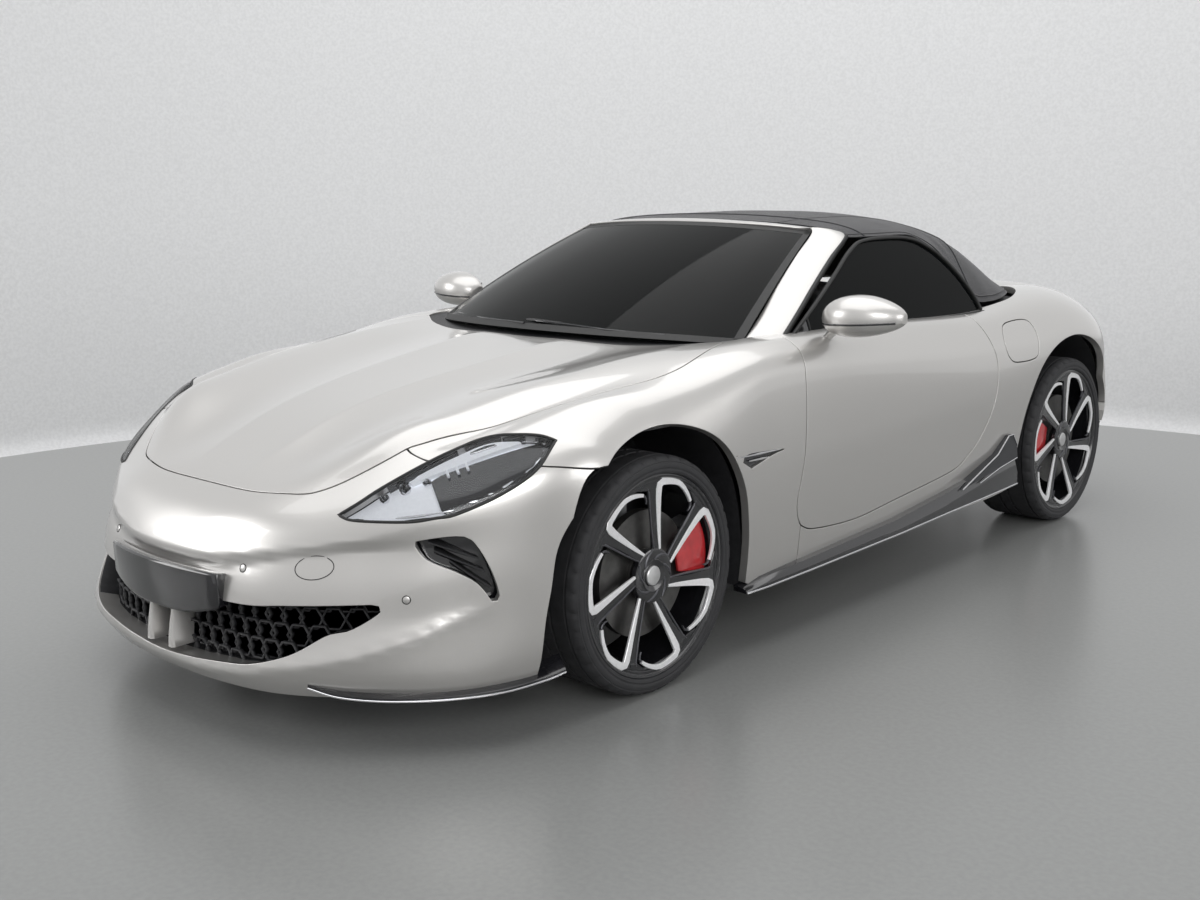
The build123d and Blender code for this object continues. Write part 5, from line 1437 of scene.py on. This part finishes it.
def liners():
    for end, arch, kept in (("front", FRONT_ARCH, 14), ("rear", REAR_ARCH, 13)):
        line = [p for p in smooth_line(arch[:kept], 5) if p[1] > (300 if p[0] > WHEELBASE else 210)]
        centre = np.array([np.mean([p[0] for p in line]), 350])
        grid = np.array([[(x, *(p + (p - centre) / np.linalg.norm(p - centre) * grow)) for p in line]
                         for x, grow in ((888, 9), (870, 5), (760, 5), (640, 5), (540, 5))])
        outer = grid + (grid - np.array([0, *centre])) * np.array([0, 0.006, 0.006])
        pair(end + "_arch_liner_{}", [pane(grid, outer)], [BLACK], SHELL, "matte_trim", "arch_liners",
             "hinge_pins", crisp=45, merge=False)


def small_marks():
    parts = []
    for sign in (1, -1):
        for x, z in ((324, 482), (724, 423)):
            p, n = (v * [sign, 1, 1] for v in spot("front", x, z))
            parts.append(turned([(0.1, -2), (9.5, -2), (9.5, 0.4), (8, 1.2), (0.1, 1.4)], p, n, 24))
            parts.append(turned([(9.5, -2), (12, -2), (12, 0.3), (11, 0.9), (9.5, 0.6)], p, n, 24, 1))
    piece("parking_sensors", parts, [PAINT, SEAL], SHELL, "paint", crisp=35, merge=False)
    ring = []
    for a in (2 * math.pi * k / 40 for k in range(40)):
        p, n = spot("front", 520 + 44 * math.cos(a), 500 + 29 * math.sin(a))
        ring.append(tuple(p + n * 0.05))
    piece("tow_cover_gap", [swept(ring, round_section(1.3, 6), closed=True)], [SEAL], SHELL, "paint",
          crisp=60)


def wipers():
    parts = []
    foot_x, foot_s = ([p[k] for p in reversed(SCREEN_BASE)] for k in (0, 1))
    for x0, x1 in ((500, -70), (-60, -560)):
        line = []
        for t in (k / 14 for k in range(15)):
            x = x0 + (x1 - x0) * t
            rise = 26 + 26 * t
            line.append((x, np.interp(abs(x), foot_x, foot_s) + rise * 0.9,
                         np.interp(abs(x), [0, 728], [965, 942]) + rise * 0.36 + 9))
        parts.append(swept(line, box_section(9, 8, 2)))
        parts.append(swept([(x, s + 8, z + 0.5) for x, s, z in line[4:]], box_section(5, 9, 2), number=1))
    piece("wipers", parts, [GLOSS_BLACK, SEAL], SHELL, "trim", crisp=35, merge=False)


def diffuser_fins():
    parts = []
    for x in (-420, -250, -90, 90, 250, 420):
        foot = spot("rear", x, 330)[0][1]
        parts.append(loft([[(x - w, foot + s, z), (x + w, foot + s, z), (x + w, foot + s - 60, z + 12),
                            (x - w, foot + s - 60, z + 12)]
                           for w, s, z in ((3, 6, 400), (4, 14, 320), (5, 2, 262), (5, -60, 238))]))
    piece("diffuser_fins", parts, [GLOSS_BLACK], SHELL, "trim", crisp=30, merge=False)

for make in (diffuser_fins, grille, plate_carriers, headlamps, vents, splitter, skirts, liners, small_marks,
             wipers):
    make()


# ---------------------------------------------------------------- structure drawn in under the skin
def underbody(clear=14):
    """The node's own shape again, pulled in wherever it would reach the skin."""
    source = bpy.data.objects["underbody"]
    mesh = source.data.copy()
    mesh.name = "underbody_made"
    mesh.transform(source.matrix_world)
    for v in mesh.vertices:
        x, s, z = v.co.x * 1000, (v.co.y - FRONT_AXLE) * 1000, v.co.z * 1000
        if abs(x) > 800 and z > 190:
            limit = spot("side", s, z)[0][0] - clear
            if abs(x) > limit > 600:
                v.co.x = math.copysign(limit / 1000, x)
    mesh.materials.clear()
    mesh.materials.append(DARK_METAL)
    shade(mesh, 35)
    fit_out(object_of("underbody_made", mesh), SHELL, "structure", "underbody")


# ---------------------------------------------------------------- cabin
SEAT_X = 385
LEAN = (0, -0.93, 0.36)    # the way a seat's back faces
PADS = (("seat_cushion", (0, -0.06, 1), 0.010, (
            (1405, 415, 215, 30), (1430, 425, 232, 52), (1530, 420, 236, 60), (1660, 408, 232, 58),
            (1780, 398, 224, 50), (1810, 398, 205, 34))),
        ("seat_back", LEAN, 0.010, (
            (1830, 430, 205, 30), (1846, 470, 226, 52), (1880, 590, 236, 58), (1915, 720, 232, 55),
            (1950, 840, 196, 50), (1972, 905, 165, 44), (1982, 930, 140, 28))),
        ("headrest", LEAN, 0.008, (
            (1990, 950, 90, 26), (1996, 972, 118, 42), (2012, 1020, 122, 46), (2024, 1062, 105, 38),
            (2030, 1080, 80, 22))))


def pad_form(out, sections, count=20):
    """A crowned closed form, thick along out: (place, height, half width, half thickness)."""
    out = Vector(out).normalized()
    rings = []
    for s, z, half, thick in sections:
        corners = (squared(2 * math.pi * j / count, 0.75) for j in range(count))
        rings.append([tuple(Vector((SEAT_X, s, z)) + Vector((1, 0, 0)) * half * c + out * thick * d)
                      for c, d in corners])
    return loft(rings)


def swell(made, cap, voxel=0.006, pressure=4.0):
    """Fills a pad by cloth pressure, and keeps every point within a small way of where it began."""
    name = made.name
    grain = made.modifiers.new("grain", "REMESH")
    grain.mode = "VOXEL"
    grain.voxel_size = voxel
    made = settle(made, name, 0)
    start = np.array([v.co[:] for v in made.data.vertices])
    cloth = made.modifiers.new("fill", "CLOTH")
    cloth.settings.use_pressure = True
    cloth.settings.uniform_pressure_force = pressure
    cloth.settings.effector_weights.gravity = 0
    cloth.settings.quality = 5
    cloth.point_cache.frame_start, cloth.point_cache.frame_end = 1, 20
    for frame_now in range(1, 21):
        bpy.context.scene.frame_set(frame_now)
    made = settle(made, name, 0)
    move = np.array([v.co[:] for v in made.data.vertices]) - start
    far = np.linalg.norm(move, axis=1)
    move *= np.minimum(1, cap / np.maximum(far, 1e-9))[:, None]
    made.data.vertices.foreach_set("co", (start + move).ravel())
    bpy.context.scene.frame_set(1)
    relax = made.modifiers.new("relax", "SMOOTH")
    relax.iterations = 6
    return settle(made, name, 60)


def twin_of(made, name):
    mesh = made.data.copy()
    mesh.name = name
    mesh.transform(Matrix.Scale(-1, 4, (1, 0, 0)))
    mesh.flip_normals()
    return object_of(name, mesh)


def seats():
    for word, out, cap, sections in PADS:
        left = swell(solid(word + "_left", [pad_form(out, sections)], [HIDE], crisp=0, smooth=1), cap)
        for pad in (left, twin_of(left, word + "_right")):
            fit_out(pad, SHELL, "leather", "seats")
    left, places, turns = [], [], []
    girth = np.interp(np.linspace(0, 1, 37), (0, 0.15, 0.8, 1), (0.5, 1.0, 1.0, 0.5))
    for edge in (-1, 1):
        line = [(SEAT_X + edge * out, s, z) for out, s, z in (
            (214, 1420, 452), (226, 1560, 462), (222, 1720, 452), (226, 1815, 520), (228, 1850, 620),
            (210, 1890, 760), (165, 1930, 880))]
        left.append(swept(smooth_line(line, 6), round_section(30, 12), scales=girth))
    left.append(loft([[(SEAT_X - w, s, z), (SEAT_X - w, s + 34, z - 10), (SEAT_X + w, s + 34, z - 10),
                       (SEAT_X + w, s, z)]
                      for w, s, z in ((225, 1885, 400), (228, 1925, 560), (220, 1965, 740), (170, 2006, 905),
                                      (60, 2030, 950))], number=1))
    left.append(loft([[(SEAT_X - 205, s, 338), (SEAT_X - 205, s, 372), (SEAT_X + 205, s, 372),
                       (SEAT_X + 205, s, 338)] for s in (1400, 1860)], number=1))
    made = piece("seat_bolsters", left + [other_side(part) for part in left], [HIDE, BLACK], SHELL, "leather",
                 crisp=45, merge=False)
    for sign in (1, -1):
        for edge in (-1, 1):
            for seam in (((150, 1425, 487), (150, 1560, 490), (150, 1760, 463)),
                         ((140, 1792, 520), (145, 1822, 620), (138, 1868, 750))):
                p, t = along(smooth_line([(sign * (SEAT_X + edge * out), s, z) for out, s, z in seam], 8), 12)
                places += list(p)
                turns += t
    repeat("seat_stitches", places, turns, 0.007, 0.0011, STITCH, SHELL, shape="stitch")


def dashboard():
    rows = []
    for t in (k / 10 for k in range(-10, 11)):
        x, back = 700 * t, 40 * t * t
        hood = 22 * math.exp(-((x - 375) / 190) ** 2)
        profile = ((590, 740), (560, 890), (660, 912), (800, 912 + hood), (868, 896 + hood), (902, 868),
                   (892, 830), (850, 800), (876, 770), (850, 712))
        rows.append([(x, s + back, z) for s, z in profile] + [(x, 700, 690)])
    screens = [loft([[(x, s, z) for s, z in outline] for x in ends], number=1) for ends, outline in (
        ((-95, 105), ((905, 770), (893, 905), (880, 905), (890, 770))),
        ((245, 505), ((858, 888), (842, 985), (830, 985), (846, 888))))]
    nozzles = [turned([(0.1, 0), (34, 0), (38, 4), (34, 6), (0.1, 2)], (x, 905, 845), (0, 1, 0.2), 28, 2)
               for x in (-560, -380, 190, 580)]
    piece("dashboard_made", [loft(rows), *screens, *nozzles], [HIDE, GLOSS_BLACK, SATIN], SHELL, "leather",
          "dashboard", crisp=35, bevel=3, merge=False)
    console = [[(-w, s, low), (-w, s, high - 20), (-w + 18, s, high), (w - 18, s, high), (w, s, high - 20),
                (w, s, low)]
               for s, w, low, high in ((800, 92, 400, 740), (950, 98, 345, 660), (1150, 100, 345, 600),
                                       (1500, 98, 345, 585), (1900, 96, 345, 610), (2080, 90, 345, 640))]
    cups = [turned([(0.1, 0), (38, 0), (42, 3), (38, 5), (34, -2), (0.1, -6)], (0, s, 596), (0, 0, 1), 32, 1)
            for s in (1180, 1270)]
    arm = [[(-70, s, 590), (-74, s, z), (-50, s, z + 18), (50, s, z + 18), (74, s, z), (70, s, 590)]
           for s, z in ((1480, 600), (1520, 622), (1760, 628), (1800, 612))]
    piece("centre_console_made", [loft(console), *cups, loft(arm, number=2)], [BLACK, SATIN, HIDE], SHELL,
          "matte_trim", "centre_console", crisp=35, bevel=3, merge=False)


def steering():
    centre = Vector((375, 1180, 800))
    tilt = math.radians(24)
    axis = Vector((0, math.cos(tilt), math.sin(tilt)))
    side = Vector((1, 0, 0))
    up = side.cross(axis)
    path = [centre + side * 184 * math.sin(a) + up * max(178 * math.cos(a), -158)
            for a in (2 * math.pi * k / 72 for k in range(72))]
    hub = [[tuple(centre + side * 66 * math.cos(b) * f + up * (52 * math.sin(b) * f - 6) + axis * d)
            for b in np.linspace(0, 2 * math.pi, 24, endpoint=False)]
           for d, f in ((-34, 0.8), (-20, 1.0), (14, 1.0), (26, 0.86), (30, 0.6))]
    parts = [swept(path, round_section(15, 14, 17 / 15), up=axis, closed=True), loft(hub)]
    for ends, wide in ((((-172, 10), (-50, 4)), 30), (((50, 4), (172, 10)), 30), (((0, -40), (0, -156)), 34)):
        a, b = (centre + side * x + up * y for x, y in ends)
        across = (b - a).normalized().cross(axis)
        parts.append(loft([[tuple(p + across * w * wide / 2 + axis * d)
                            for w, d in ((-1, -6), (-0.9, 6), (0.9, 6), (1, -6))]
                           for p in (a, (a + b) / 2, b)],
                          number=1))
    piece("steering_wheel_made", parts, [HIDE, SATIN], "steering_wheel", "leather", "steering_wheel",
          crisp=45, merge=False)
    ring = [tuple(p + (centre - p).normalized() * 15.5) for p in path]
    repeat("wheel_stitches", *along(ring + ring[:1], 9), 0.005, 0.001, STITCH, "steering_wheel",
           shape="stitch")


def door_cards():
    arm = [[(742, s, z - 34), (736, s, z - 6), (748, s, z + 10), (790, s, z + 12), (800, s, z - 40)]
           for s, z in ((1050, 650), (1150, 662), (1500, 664), (1700, 690))]
    pull = smooth_line([(752, 1180, 742), (738, 1240, 748), (738, 1340, 748), (752, 1400, 742)], 6)
    card = [[(806, s, 420), (792, s, 520), (786, s, 640), (778, s, 800), (786, s, top), (812, s, top + 4),
             (822, s, 420)] for s, top in ((860, 925), (1100, 930), (1500, 930), (1850, 925))]
    pair("door_card_{}", [loft(card), loft(arm), swept(pull, round_section(8, 10), number=1)], [HIDE, SATIN],
         "door_{}", "leather", crisp=40, merge=False)

underbody()
seats()
dashboard()
steering()
door_cards()


# ---------------------------------------------------------------- the nodes that stay as they are
KEPT = ((BLACK, ("undertray", "front_bay_cover")), (CARPET, ("boot_tub",)),
        (DARK_METAL, ("battery_pack", "front_suspension", "rear_suspension", "steering_column")),
        (CAST, ("rear_uprights", "knuckle_front_left", "knuckle_front_right", "drive_unit")),
        (IRON, [f"brake_disc_{end}_{side}" for end in ("front", "rear") for side, _ in SIDES]))
for kept_finish, kept_names in KEPT:
    for kept_name in kept_names:
        for material_slot in bpy.data.objects[kept_name].material_slots:
            material_slot.material = kept_finish


# ---------------------------------------------------------------- floor, backdrop, light and camera
WALL_CENTRE = (0.92, -1.19)
WALL_PROFILE = ((4.98, 0.0), (5.02, 0.02), (5.04, 0.06), (5.05, 0.12), (5.05, 4.6))    # radius, height
WALL_STEPS = 120
AIR_GREYS = ((0.0, 0.62), (0.06, 0.80), (0.25, 0.72), (0.6, 0.55), (1.0, 0.5))    # height in the sky, grey


def pale(name, colour, rough):
    """A finish with a faint speck, for the floor and the wall."""
    material, tree, skin, place = begin(name)
    skin.inputs["Roughness"].default_value = rough
    speck = node(tree, "TexNoise", {"Vector": place}, Scale=60.0, Detail=6.0).outputs["Fac"]
    two_tone(tree, skin, speck, [c * 0.95 for c in colour], [c * 1.04 for c in colour], (0.35, 0.65))
    return material


def wall_finish():
    """Plaster that only the camera sees, and only from its front."""
    plaster = pale("wall_plaster", (0.80, 0.805, 0.81), 0.8)
    tree = plaster.node_tree
    others = reckon(tree, "SUBTRACT", 1.0, node(tree, "LightPath").outputs["Is Camera Ray"])
    behind = node(tree, "NewGeometry").outputs["Backfacing"]
    mix_into(tree, reckon(tree, "MAXIMUM", behind, others), tree.nodes["Principled BSDF"],
             node(tree, "BsdfTransparent"), tree.nodes["Material Output"])
    return plaster


def backdrop():
    floor = mesh_of("studio_floor", [(-30, -30, 0), (30, -30, 0), (30, 30, 0), (-30, 30, 0)], [(0, 1, 2, 3)],
                    [pale("floor_resin", (0.27, 0.275, 0.27), 0.28)])
    object_of("studio_floor", floor)
    (x, y), high = WALL_CENTRE, len(WALL_PROFILE)
    points, faces = [], []
    for k in range(WALL_STEPS):
        angle = 2 * math.pi * k / WALL_STEPS
        points += [(x + r * math.cos(angle), y + r * math.sin(angle), z + 0.001) for r, z in WALL_PROFILE]
        a, b = k * high, (k + 1) % WALL_STEPS * high
        faces += [(a + j, a + j + 1, b + j + 1, b + j) for j in range(high - 1)]
    wall = mesh_of("studio_wall", points, faces, [wall_finish()])
    wall.shade_smooth()
    object_of("studio_wall", wall)


def air():
    """The room's light; the camera, clear glass and mirror-like surfaces see it as one even grey."""
    world = bpy.data.worlds.new("studio_air")
    bpy.context.scene.world = world
    world.use_nodes = True
    tree = world.node_tree
    tree.nodes.clear()
    way = node(tree, "TexCoord").outputs["Generated"]
    ramp = node(tree, "ValToRGB", {"Fac": node(tree, "SeparateXYZ", {0: way}).outputs["Z"]})
    for at, _ in AIR_GREYS[1:-1]:
        ramp.color_ramp.elements.new(at)
    for element, (at, grey) in zip(ramp.color_ramp.elements, AIR_GREYS):
        element.position = at
        element.color = (grey, grey, grey * 1.01, 1)
    shining = node(tree, "Background", {"Color": ramp.outputs["Color"]}, Strength=0.74)
    seen = node(tree, "Background", Color=(0.83, 0.835, 0.84, 1))
    ray = node(tree, "LightPath").outputs
    through = reckon(tree, "MAXIMUM", ray["Is Camera Ray"], ray["Is Transmission Ray"])
    mix_into(tree, reckon(tree, "MAXIMUM", through, ray["Is Glossy Ray"]), shining, seen,
             node(tree, "OutputWorld"))


def light(name, place, aim, size, power):
    lamp = bpy.data.lights.new(name, "AREA")
    lamp.shape = "RECTANGLE"
    lamp.size, lamp.size_y = size
    lamp.energy = power
    made = object_of(name, lamp)
    made.location = place
    made.rotation_euler = (Vector(aim) - Vector(place)).to_track_quat("-Z", "Y").to_euler()


def camera(place=(3.4008, -4.1511, 1.4932), angles=(42.655, 11.344, -0.683)):
    """Looks from a place; the angles are the turn from straight back, the look down and the roll."""
    yaw, pitch, roll = (math.radians(v) for v in angles)
    ahead = Vector((-math.sin(yaw) * math.cos(pitch), math.cos(yaw) * math.cos(pitch), -math.sin(pitch)))
    right = Vector((math.cos(yaw), math.sin(yaw), 0))
    up = right.cross(ahead)
    across = right * math.cos(roll) + up * math.sin(roll)
    rise = up * math.cos(roll) - right * math.sin(roll)
    data = bpy.data.cameras.new("camera")
    data.lens, data.sensor_width = 41.49, 36.0
    data.clip_start, data.clip_end = 0.05, 200
    made = object_of("camera", data)
    made.matrix_world = Matrix.Translation(place) @ Matrix((across, rise, -ahead)).transposed().to_4x4()
    bpy.context.scene.camera = made

backdrop()
air()
light("overhead", (0, 0, 5.2), (0, 0, 0), (5.5, 8), 178)
light("front_left", (6.5, -5.0, 3.6), (0.3, -0.8, 0.5), (4, 3), 150)
light("front_right", (-4.5, -6.5, 3.2), (0, -1, 0.5), (4, 3), 150)
light("side_fill", (8.0, 2.5, 2.4), (0.8, 0.6, 0.5), (5, 2.4), 110)
camera()
bpy.context.scene.view_settings.view_transform = "Standard"
